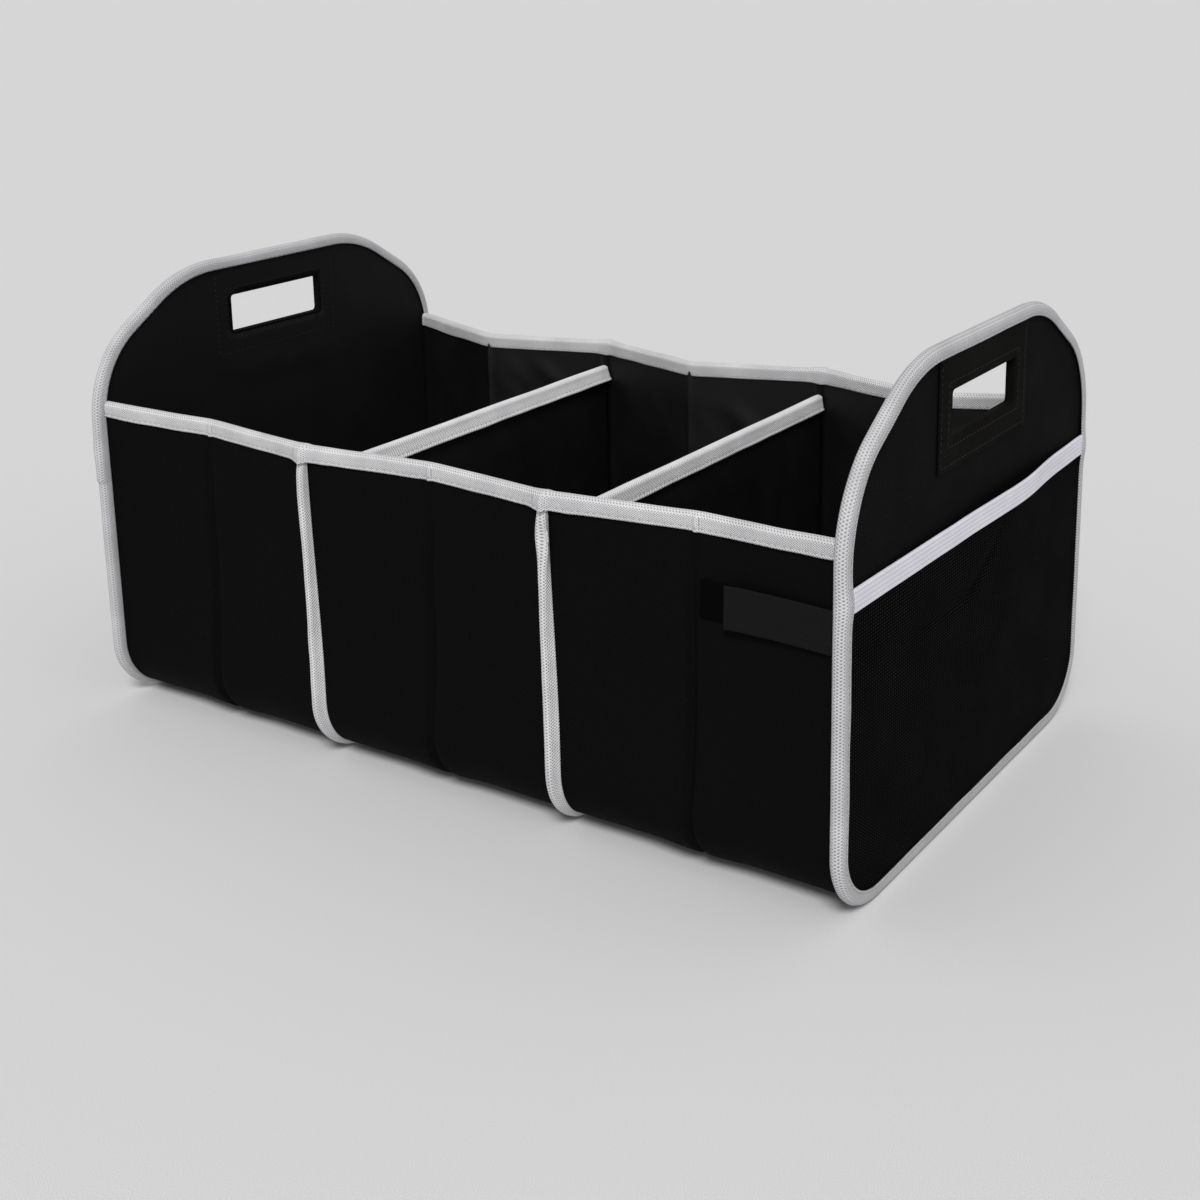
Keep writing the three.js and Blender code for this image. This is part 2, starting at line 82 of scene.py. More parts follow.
def linear(code: str) -> tuple[float, float, float, float]:
    """Turns an sRGB hex colour into linear RGBA.

    Args:
        code: Six hex digits, such as "c4c4c6".

    Returns:
        Linear red, green, blue and an alpha of 1.
    """
    parts = [int(code[i : i + 2], 16) / 255 for i in (0, 2, 4)]
    return (*[c / 12.92 if c <= 0.04045 else ((c + 0.055) / 1.055) ** 2.4 for c in parts], 1.0)


def add_node(tree: NodeTree, kind: str, settings: dict | None = None, **inputs) -> Node:
    """Adds a node, sets its properties and values and links other nodes to it.

    Args:
        tree: The material's node tree.
        kind: The node's type name without the leading "ShaderNode".
        settings: Properties of the node, such as the operation of a Math node.
        **inputs: A value, a socket or a node, which stands for its first output in use, by
            the input's name with "_" for a space, or by its place as "i0", "i1".

    Returns:
        The new node.
    """
    node = tree.nodes.new("ShaderNode" + kind)
    for name, value in (settings or {}).items():
        setattr(node, name, value)
    for name, value in inputs.items():
        by_place = name[0] == "i" and name[1:].isdigit()
        socket = node.inputs[int(name[1:])] if by_place else node.inputs[name.replace("_", " ")]
        if isinstance(value, Node):
            value = next(output for output in value.outputs if output.enabled)
        if isinstance(value, NodeSocket):
            tree.links.new(value, socket)
        else:
            socket.default_value = value
    return node


def empty_material(name: str) -> tuple[Material, NodeTree]:
    """Makes a material with no node in it.

    Args:
        name: What the finish is.

    Returns:
        The material and its node tree.
    """
    material = bpy.data.materials.new(name)
    material.use_nodes = True
    material.node_tree.nodes.clear()
    return material, material.node_tree


def woven_relief(tree: NodeTree, along: float, across: float, rows: bool = False) -> Node:
    """Height of a plain weave on the piece's UV map, which is in metres.

    Args:
        tree: The material's node tree.
        along: Spacing of the threads in the map's first direction, in metres.
        across: Their spacing in the second direction.
        rows: Whether the crowns stand in straight rows, as in a knit, and not staggered.

    Returns:
        A node whose value runs from -1, in the gaps between threads, to 1 on their crowns.
    """
    place = add_node(tree, "UVMap", SURFACE_MAP)
    turns = add_node(tree, "VectorMath", TIMES, i0=place, i1=(math.pi / along, math.pi / across, 0))
    waves = add_node(tree, "VectorMath", SINE, i0=turns)
    first, second, _ = add_node(tree, "SeparateXYZ", i0=waves).outputs
    if rows:
        both = add_node(tree, "Math", PLUS, i0=first, i1=second)
        return add_node(tree, "Math", TIMES, i0=both, i1=0.5)
    return add_node(tree, "Math", TIMES, i0=first, i1=second)


def mottling(tree: NodeTree, per_metre: float, detail: float, uv: bool = True) -> Node:
    """Soft irregular variation, on the piece's UV map or in its own coordinates.

    Args:
        tree: The material's node tree.
        per_metre: How many patches there are in a metre.
        detail: How many finer layers are added.
        uv: Whether it follows the surface.

    Returns:
        A node whose value lies round 0.5.
    """
    place = add_node(tree, "UVMap", SURFACE_MAP) if uv else add_node(tree, "TexCoord").outputs["Object"]
    return add_node(tree, "TexNoise", Vector=place, Scale=per_metre, Detail=detail, Roughness=0.55)


# Finishes


@dataclass(frozen=True)
class Pattern:
    """What a finish's pattern gives its shader.

    The tone runs from the finish's darker to its lighter colour, wear drives the roughness,
    gaps is the share of a third colour, and cover is how much of the surface is there.
    """

    tone: Node
    wear: Node
    height: Node
    gaps: Node | None = None
    cover: Node | float = 1.0


@dataclass(frozen=True)
class Surface:
    """What all finishes share: two colours, a range of roughness, relief and gloss."""

    name: str
    low: str
    high: str
    smoothest: float
    roughest: float
    relief: float
    strength: float
    specular: float

    def pattern(self, tree: NodeTree) -> Pattern:
        """The finish's own pattern."""
        raise NotImplementedError

    def colour(self, tree: NodeTree, pattern: Pattern) -> Node:
        """The colour between the two, by the pattern's tone."""
        return add_node(tree, "Mix", COLOURS, i0=pattern.tone, i6=linear(self.low), i7=linear(self.high))

    def material(self) -> Material:
        """Builds the finish's material.

        Returns:
            The material.
        """
        material, tree = empty_material(self.name)
        pattern = self.pattern(tree)
        limits = {"i1": 0.3, "i2": 0.7, "i3": self.smoothest, "i4": self.roughest}
        rough = add_node(tree, "MapRange", i0=pattern.wear, **limits)
        bump = add_node(tree, "Bump", Strength=self.strength, Distance=self.relief, Height=pattern.height)
        shader = add_node(
            tree,
            "BsdfPrincipled",
            Base_Color=self.colour(tree, pattern),
            Roughness=rough,
            Specular_IOR_Level=self.specular,
            Alpha=pattern.cover,
            Normal=bump,
        )
        add_node(tree, "OutputMaterial", Surface=shader)
        return material


@dataclass(frozen=True)
class WovenCloth(Surface):
    """Plain-woven polyester, coated on its back: matt, nearly black, with a fine square grain.

    The thread spacing is drawn a little coarser than the real 0.4 mm, so that it shows.
    """

    smoothest: float = 0.74
    roughest: float = 0.92
    relief: float = 0.14 * MM
    strength: float = 0.55
    specular: float = 0.04
    thread: float = 0.8 * MM

    def pattern(self, tree: NodeTree) -> Pattern:
        """A square grain with soft patches and single fibres.

        Args:
            tree: The material's node tree.

        Returns:
            What the shader takes from it.
        """
        weave = woven_relief(tree, self.thread, self.thread)
        patches, fibres = mottling(tree, 22, 4), mottling(tree, 900, 2)
        grain = add_node(tree, "MapRange", i0=weave, i1=-1, i2=1, i3=0.0, i4=0.5)
        worn = add_node(tree, "Math", TIMES_PLUS, i0=patches, i1=0.5, i2=grain)
        fuzz = add_node(tree, "MapRange", i0=fibres, i1=0.25, i2=0.75, i3=0.55, i4=1.3)
        tone = add_node(tree, "Math", TIMES, i0=worn, i1=fuzz)
        height = add_node(tree, "Math", TIMES_PLUS, i0=fibres, i1=1.2, i2=weave)
        return Pattern(tone, patches, height)


@dataclass(frozen=True)
class BindingTape(Surface):
    """Woven polypropylene binding: pale, slightly lustrous, with rows of tiny dark gaps.

    The cells have the spacing that the photograph shows.
    """

    smoothest: float = 0.6
    roughest: float = 0.78
    relief: float = 0.3 * MM
    strength: float = 0.8
    specular: float = 0.3
    gap: str = "4c4c50"
    cell: float = 0.84 * MM

    def pattern(self, tree: NodeTree) -> Pattern:
        """Staggered crowns of yarn with gaps between them.

        Args:
            tree: The material's node tree.

        Returns:
            What the shader takes from it.
        """
        weave = woven_relief(tree, self.cell, self.cell)
        patches, fibres = mottling(tree, 45, 3), mottling(tree, 1500, 2)
        worn = add_node(tree, "MapRange", i0=patches, i1=0.3, i2=0.7, i3=0.55, i4=1.0)
        fuzz = add_node(tree, "MapRange", i0=fibres, i1=0.2, i2=0.8, i3=0.8, i4=1.1)
        tone = add_node(tree, "Math", TIMES, i0=worn, i1=fuzz)
        gaps = add_node(tree, "MapRange", i0=weave, i1=-0.9, i2=-0.35, i3=0.8, i4=0.0)
        height = add_node(tree, "Math", TIMES_PLUS, i0=fibres, i1=0.6, i2=weave)
        return Pattern(tone, fibres, height, gaps=gaps)

    def colour(self, tree: NodeTree, pattern: Pattern) -> Node:
        """The yarn's colour, darkened in the gaps."""
        yarn = super().colour(tree, pattern)
        return add_node(tree, "Mix", COLOURS, i0=pattern.gaps, i6=yarn, i7=linear(self.gap))


@dataclass(frozen=True)
class RibbedElastic(Surface):
    """Woven elastic: off-white with a faint cool tint, crimped across its ribs."""

    low: str = "bcbac4"
    high: str = "e4e2ea"
    smoothest: float = 0.55
    roughest: float = 0.7
    relief: float = 0.12 * MM
    strength: float = 0.35
    specular: float = 0.3
    crimp: float = 0.9 * MM

    def pattern(self, tree: NodeTree) -> Pattern:
        """A fine crimp with soft patches.

        Args:
            tree: The material's node tree.

        Returns:
            What the shader takes from it.
        """
        weave = woven_relief(tree, self.crimp, self.crimp * 0.7)
        patches = mottling(tree, 60, 3)
        grain = add_node(tree, "MapRange", i0=weave, i1=-1, i2=1, i3=0.1, i4=0.6)
        tone = add_node(tree, "Math", TIMES_PLUS, i0=patches, i1=0.6, i2=grain)
        return Pattern(tone, patches, weave)


@dataclass(frozen=True)
class KnittedNet(Surface):
    """Warp-knitted polyester net: fine black mesh that lets a little of the panel show."""

    low: str = "010101"
    high: str = "2e2e2f"
    smoothest: float = 0.85
    roughest: float = 1.0
    relief: float = 0.3 * MM
    strength: float = 0.6
    specular: float = 0.02
    cell: float = 0.85 * MM
    cell_width: float = 1.15 * MM

    def pattern(self, tree: NodeTree) -> Pattern:
        """Straight rows of crowns, open between the threads.

        Args:
            tree: The material's node tree.

        Returns:
            What the shader takes from it.
        """
        weave = woven_relief(tree, self.cell_width, self.cell, rows=True)
        patches = mottling(tree, 30, 3)
        crowns = add_node(tree, "MapRange", i0=weave, i1=0.15, i2=0.95, i3=0.0, i4=1.0)
        worn = add_node(tree, "MapRange", i0=patches, i1=0.35, i2=0.65, i3=0.45, i4=1.0)
        tone = add_node(tree, "Math", TIMES, i0=crowns, i1=worn)
        cover = add_node(tree, "MapRange", i0=weave, i1=-0.7, i2=-0.45, i3=0.0, i4=1.0)
        return Pattern(tone, patches, weave, cover=cover)


@dataclass(frozen=True)
class StrapWebbing(Surface):
    """Flat webbing with a coarse weave, a shade lighter than the cloth."""

    low: str = "050506"
    high: str = "141415"
    smoothest: float = 0.75
    roughest: float = 0.9
    relief: float = 0.2 * MM
    strength: float = 0.7
    specular: float = 0.12
    thread: float = 1.1 * MM

    def pattern(self, tree: NodeTree) -> Pattern:
        """A coarse weave with single fibres.

        Args:
            tree: The material's node tree.

        Returns:
            What the shader takes from it.
        """
        weave = woven_relief(tree, self.thread, self.thread * 0.75)
        fibres = mottling(tree, 700, 3)
        grain = add_node(tree, "MapRange", i0=weave, i1=-1, i2=1, i3=0.0, i4=0.7)
        tone = add_node(tree, "Math", TIMES_PLUS, i0=fibres, i1=0.5, i2=grain)
        return Pattern(tone, fibres, weave)


@dataclass(frozen=True)
class LoopPile(Surface):
    """Low brushed loop pile: fuzzy and the darkest of the blacks."""

    low: str = "020202"
    high: str = "070707"
    smoothest: float = 0.9
    roughest: float = 1.0
    relief: float = 0.4 * MM
    strength: float = 0.9
    specular: float = 0.03

    def pattern(self, tree: NodeTree) -> Pattern:
        """Fine tufts."""
        tufts = mottling(tree, 1400, 3)
        return Pattern(tufts, tufts, tufts)


@dataclass(frozen=True)
class PressedBoard(Surface):
    """Pressed fibre board: beige, matt, flecked with short fibres."""

    low: str = "857a69"
    high: str = "aea391"
    smoothest: float = 0.85
    roughest: float = 0.98
    relief: float = 0.15 * MM
    strength: float = 0.4
    specular: float = 0.2

    def pattern(self, tree: NodeTree) -> Pattern:
        """Flecks of fibre."""
        flecks = mottling(tree, 500, 5, uv=False)
        return Pattern(add_node(tree, "MapRange", i0=flecks, i1=0.3, i2=0.7), flecks, flecks)


@dataclass(frozen=True)
class SewingThread(Surface):
    """Twisted polyester thread, a little lustrous."""

    smoothest: float = 0.5
    roughest: float = 0.7
    relief: float = 0.1 * MM
    strength: float = 0.5
    specular: float = 0.2

    def pattern(self, tree: NodeTree) -> Pattern:
        """The twist of the yarn."""
        twist = mottling(tree, 2500, 1, uv=False)
        return Pattern(twist, twist, twist)


class Finish(Enum):
    """The finishes of the organizer's pieces, each with the name of the material slot that it belongs to."""

    OUTER = ("outer_fabric", WovenCloth("outer woven polyester", "040404", "0f0f0f"))
    LINING = (
        "lining_fabric",
        WovenCloth(
            "lining woven polyester",
            "060606",
            "101010",
            thread=0.7 * MM,
            specular=0.26,
            smoothest=0.47,
            roughest=0.62,
        ),
    )
    PANEL_LINING = (
        "lining_fabric",
        WovenCloth(
            "end panel lining polyester",
            "0b0b0b",
            "191919",
            thread=0.7 * MM,
            specular=0.09,
            smoothest=0.6,
            roughest=0.8,
        ),
    )
    PATCH = (
        "patch_fabric",
        WovenCloth("reinforcing canvas", "050504", "12110e", thread=1.0 * MM, relief=0.18 * MM),
    )
    TAPE = ("edge_tape", BindingTape("woven binding tape", "a5a5a8", "e0e0e1"))
    # The end panels' edge tape is the walls' binding tape with darker colours: painted shade, for edges that
    # face away from the key light.
    END_TAPE = ("edge_tape", BindingTape("woven binding tape, end panels", "a3a3a6", "cdcdcf", gap="626266"))
    # The dividers' top tape is the same binding tape with brighter colours: painted light on its side, which
    # faces away from the key light.
    DIVIDER_TAPE_PAINTED_LIGHT = (
        "edge_tape",
        BindingTape("woven binding tape, dividers", "c6c6c9", "f2f2f3", gap="78787c"),
    )
    ELASTIC = ("elastic", RibbedElastic("ribbed woven elastic"))
    NET = ("mesh_fabric", KnittedNet("knitted net"))
    STRAP = ("strap_webbing", StrapWebbing("strap webbing"))
    PILE = ("loop_pad", LoopPile("brushed loop pile"))
    BOARD = ("stiffener_board", PressedBoard("pressed fibre board"))
    PALE_THREAD = ("edge_tape", SewingThread("grey sewing thread", "838386", "a9a9ac"))
    DARK_THREAD = ("outer_fabric", SewingThread("dark sewing thread", "0e0e0e", "242424"))

    @property
    def slot(self) -> str:
        """The name of its material slot."""
        return self.value[0]

    @property
    def surface(self) -> Surface:
        """What the finish is."""
        return self.value[1]


class Wardrobe:
    """Makes each finish's material once and dresses pieces in it."""

    def __init__(self) -> None:
        """Starts with no material made."""
        self.made: dict[Finish, Material] = {}

    def dress(self, piece: Object, finish: Finish) -> None:
        """Gives a piece its finish.

        Args:
            piece: A new piece, or a node of the frame.
            finish: What it is made of.
        """
        if finish not in self.made:
            self.made[finish] = finish.surface.material()
        if piece.material_slots:
            for place in piece.material_slots:
                place.material = self.made[finish]
        else:
            piece.data.materials.append(self.made[finish])

    def finish_piece(self, piece: Object, finish: Finish, *nodes: str) -> None:
        """Dresses a new piece, lets it ride and hides the frame's nodes that it stands for.

        Args:
            piece: The new piece.
            finish: What it is made of.
            *nodes: The frame's nodes that it replaces.
        """
        self.dress(piece, finish)
        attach(piece, "root")
        finish.slot
        if nodes:
            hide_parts(*nodes)
        log.info("%s: %d faces", piece.name, len(piece.data.polygons))


# Helpers for shapes


def ripple(x: float, y: float, z: float, size: float) -> float:
    """Smooth unevenness from -1 to 1 that repeats over about size metres."""
    return noise.noise(Vector((x, y, z)) / size)


def hump(value: float, centre: float, reach: float) -> float:
    """A soft bump of height 1 at centre that fades over reach."""
    return math.exp(-(((value - centre) / reach) ** 2))


def between(low: float, high: float, share: float) -> float:
    """The value at a share of the way from low to high."""
    return low + (high - low) * share


@dataclass(frozen=True)
class Wave:
    """Smooth unevenness: how high it is, and the length over which it repeats."""

    height: float
    size: float

    def at(self, x: float, y: float, z: float) -> float:
        """Its height at a place, up or down."""
        return self.height * ripple(x, y, z, self.size)


@dataclass(frozen=True)
class Bulge:
    """A soft bump along a line: how high it is, where its middle is and how far it reaches."""

    height: float
    centre: float
    reach: float

    def at(self, value: float, start: float = 0.0) -> float:
        """Its height at a place along the line, measured from a start."""
        return self.height * hump(value - start, self.centre, self.reach)


def slack_within(share: float, rate: float) -> float:
    """0 at both ends of a run and 1 inside it, which a larger rate reaches sooner."""
    return min(1.0, rate * share * (1 - share))


def clamp(value: float) -> float:
    """The value kept between 0 and 1."""
    return min(max(value, 0.0), 1.0)


def set_uv(shape: BMesh, place: Callable[[BMVert], tuple[float, float]]) -> None:
    """Gives each corner of a shape's faces its place on the UV map, in metres.

    Args:
        shape: The mesh.
        place: Where a vertex lies on the map.
    """
    layer = shape.loops.layers.uv.get("UVMap") or shape.loops.layers.uv.new("UVMap")
    for face in shape.faces:
        for loop in face.loops:
            loop[layer].uv = place(loop.vert)


def new_piece(name: str, shape: BMesh, thickness: float = 0.0) -> Object:
    """Makes an object from a bmesh, smooth, and with a cloth's thickness behind its face.

    Args:
        name: The piece's name.
        shape: Its mesh, which is freed.
        thickness: Of the cloth, or 0 for a closed solid.

    Returns:
        The new object, at the origin.
    """
    for face in shape.faces:
        face.smooth = True
    mesh = bpy.data.meshes.new(name)
    shape.to_mesh(mesh)
    shape.free()
    piece = bpy.data.objects.new(name, mesh)
    bpy.context.scene.collection.objects.link(piece)
    if thickness:
        wall = piece.modifiers.new("thickness", "SOLIDIFY")
        wall.thickness = thickness
        wall.offset = -1
    return piece


def draped_grid(
    name: str,
    counts: tuple[int, int],
    size: tuple[float, float],
    place: Callable[[float, float], Vector],
    facing: Vector,
    thickness: float,
    closed: bool = False,
    spread: Callable[[float], float] = lambda share: share,
) -> Object:
    """Lays a flat grid of cloth on a surface.

    Args:
        name: The piece's name.
        counts: Faces along and across.
        size: The cloth's length and width in metres, for its UV map.
        place: Where a point lies, from its shares along and across.
        facing: Roughly which way the middle of the shown face looks.
        thickness: Of the cloth, behind the shown face.
        closed: Whether the far end meets the near end.
        spread: Where a column goes, from its even share along.

    Returns:
        The new piece.
    """
    shape = bmesh.new()
    bmesh.ops.create_grid(shape, x_segments=counts[0], y_segments=counts[1], size=0.5)
    shares = {vert: (spread(clamp(vert.co.x + 0.5)), vert.co.y + 0.5) for vert in shape.verts}
    set_uv(shape, lambda vert: (shares[vert][0] * size[0], shares[vert][1] * size[1]))
    for vert, (along, across) in shares.items():
        vert.co = place(clamp(along), clamp(across))
    if closed:
        bmesh.ops.remove_doubles(shape, verts=shape.verts, dist=1e-6)
    shape.normal_update()
    middle = place(0.5, 0.5)
    nearest = min(shape.faces, key=lambda face: (face.calc_center_median() - middle).length_squared)
    if nearest.normal.dot(facing) < 0:
        bmesh.ops.reverse_faces(shape, faces=shape.faces)
    return new_piece(name, shape, thickness)


@dataclass(frozen=True)
class Seat:
    """A point on a surface with the directions in which a stitch lies there."""

    point: Vector
    along: Vector
    outward: Vector


def stitch_row(
    name: str, seats: Iterable[Seat], length: float = 2.6 * MM, girth: float = 0.28 * MM
) -> Object:
    """Sews a row of stitches, each a small spindle of thread that dips into the cloth.

    Args:
        name: The piece's name.
        seats: Where each stitch lies.
        length: Of one stitch.
        girth: Half its thickness.

    Returns:
        The new piece.
    """
    shape = bmesh.new()
    for seat in seats:
        side = seat.along.cross(seat.outward).normalized() * girth
        ahead, out = seat.along.normalized() * length / 2, seat.outward.normalized() * girth
        place = Matrix.Translation(seat.point) @ Matrix((ahead, side, out)).transposed().to_4x4()
        bmesh.ops.create_icosphere(shape, subdivisions=1, radius=1.0, matrix=place)
    return new_piece(name, shape)


# The organizer's plan


class Side(IntEnum):
    """The left or the right end of the length."""

    LEFT = -1
    RIGHT = 1


class Wall(IntEnum):
    """The front or the back wall."""

    FRONT = -1
    BACK = 1


@dataclass(frozen=True)
class Bay:
    """One compartment's walls: where they start, fold and end along the length."""

    name: str
    start: float
    end: float

    @property
    def middle(self) -> float:
        """Where the walls fold."""
        return (self.start + self.end) / 2


@dataclass(frozen=True)
class Plan:
    """The driving sizes, read from the frame where it shows them."""

    end_x: float
    inner_x: float
    half_width: float
    wall_top: float
    panel_top: float
    divider_x: float
    divider_top: float
    bays: tuple[Bay, ...]
    seam_rise: float = 2 * MM
    corner: float = 36 * MM
    cloth: float = 0.6 * MM
    tape: float = 0.8 * MM
    gap: float = 0.3 * MM
    lining_depth: float = 3.8 * MM
    front_pleat: float = 8.5 * MM
    back_pleat: float = 24 * MM
    pleat_foot: float = 0.35
    pleat_fade: float = 84 * MM
    pleat_softness: float = 7 * MM
    fade_softness: float = 14 * MM
    seam_margin: float = 4 * MM
    tape_width: float = 10 * MM
    panel_seam: float = 6.5 * MM
    divider_seam: float = 5.5 * MM

    @classmethod
    def from_frame(cls) -> "Plan":
        """Reads the sizes from the frame's nodes."""
        bays = []
        for name in ("left", "middle", "right"):
            low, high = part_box(f"{name}_bay_outer_fabric")
            bays.append(Bay(name, low.x, high.x))
        low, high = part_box("right_divider_board")
        board_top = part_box("right_end_board")[1]
        return cls(
            end_x=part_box("right_end_outer_fabric")[1].x,
            inner_x=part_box("right_end_inner_fabric")[0].x,
            half_width=board_top.y + 0.6 * MM,
            wall_top=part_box("right_bay_outer_fabric")[1].z,
            panel_top=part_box("right_end_tape")[1].z,
            divider_x=(low.x + high.x) / 2,
            divider_top=high.z + 0.8 * MM,
            bays=tuple(bays),
        )

    @property
    def arch(self) -> float:
        """Height at which the walls start to turn under."""
        return self.seam_rise + self.corner

    @property
    def cloth_top(self) -> float:
        """Upper edge of the walls' cloth, inside their tape."""
        return self.wall_top - 1.5 * MM

    @property
    def tape_foot(self) -> float:
        """Lower edge of the tape along the walls' top."""
        return self.wall_top - self.tape_width

    def pleat(self, x: float) -> float:
        """How far the walls are drawn in at x: 0 beside the seams, 1 at a middle fold.

        Args:
            x: Place along the length.

        Returns:
            The share of the pleat's depth.
        """
        bay = min(self.bays, key=lambda b: abs(x - b.middle))
        span = bay.middle - bay.start - self.seam_margin
        away = abs(x - bay.middle)
        if away > span:
            return 0.0
        if away > self.pleat_softness:
            return 1 - away / span
        return 1 - (self.pleat_softness / span) * (0.5 + 0.5 * (away / self.pleat_softness) ** 2)

    def fade(self, z: float, soft: bool = True) -> float:
        """Share of the pleat that is left at a height, eased where it starts to fade.

        Args:
            z: Height.
            soft: Whether it is eased.

        Returns:
            The share, 1 above and the foot's own share below.
        """
        drop = self.pleat_fade - z
        if soft and abs(drop) < self.fade_softness:
            drop = (drop + self.fade_softness) ** 2 / (4 * self.fade_softness)
        drop = max(drop, 0.0)
        run = self.pleat_fade - self.arch
        return 1 - (1 - self.pleat_foot) * min(drop / run, 1.0)

    def front(self, x: float, z: float, soft: bool = True) -> float:
        """Where the front wall's cloth lies."""
        return -self.half_width + self.front_pleat * self.pleat(x) * self.fade(z, soft)

    def back(self, x: float, z: float, soft: bool = True) -> float:
        """Where the back wall's cloth lies."""
        return self.half_width - self.back_pleat * self.pleat(x) * self.fade(z, soft)

    def wall_length(self, top: float | None = None) -> float:
        """Length of the cloth from the front top edge, under the bottom, to the back."""
        rise = (self.wall_top if top is None else top) - self.arch
        return 2 * rise + math.pi * self.corner + 2 * (self.half_width - self.corner)

    def wall(
        self, x: float, share: float, top: float | None = None, soft: bool = True
    ) -> tuple[Vector, Vector]:
        """A point of the walls' outer face and its outward direction.

        Args:
            x: Place along the length.
            share: From 0 at the front top edge, under the bottom, to 1 at the back.
            top: Height of both ends, or the walls' top.
            soft: Whether the pleats' fade is eased.

        Returns:
            The point and the direction.
        """
        high = self.wall_top if top is None else top
        rise, turn = high - self.arch, math.pi / 2 * self.corner
        flat = 2 * (self.half_width - self.corner)
        run = share * (2 * rise + 2 * turn + flat)
        front = self.front(x, self.arch, soft) + self.corner
        back = self.back(x, self.arch, soft) - self.corner
        if run < rise:
            return Vector((x, self.front(x, high - run, soft), high - run)), Vector((0, -1, 0))
        if run < rise + turn:
            angle = (run - rise) / self.corner
            way = Vector((0, -math.cos(angle), -math.sin(angle)))
            return Vector((x, front, self.arch)) + way * self.corner, way
        if run < rise + turn + flat:
            part = (run - rise - turn) / flat
            return Vector((x, between(front, back, part), self.seam_rise)), Vector((0, 0, -1))
        if run < rise + 2 * turn + flat:
            angle = (run - rise - turn - flat) / self.corner
            way = Vector((0, math.sin(angle), -math.cos(angle)))
            return Vector((x, back, self.arch)) + way * self.corner, way
        z = min(self.arch + run - rise - 2 * turn - flat, high)
        return Vector((x, self.back(x, z, soft), z)), Vector((0, 1, 0))


# Compartments


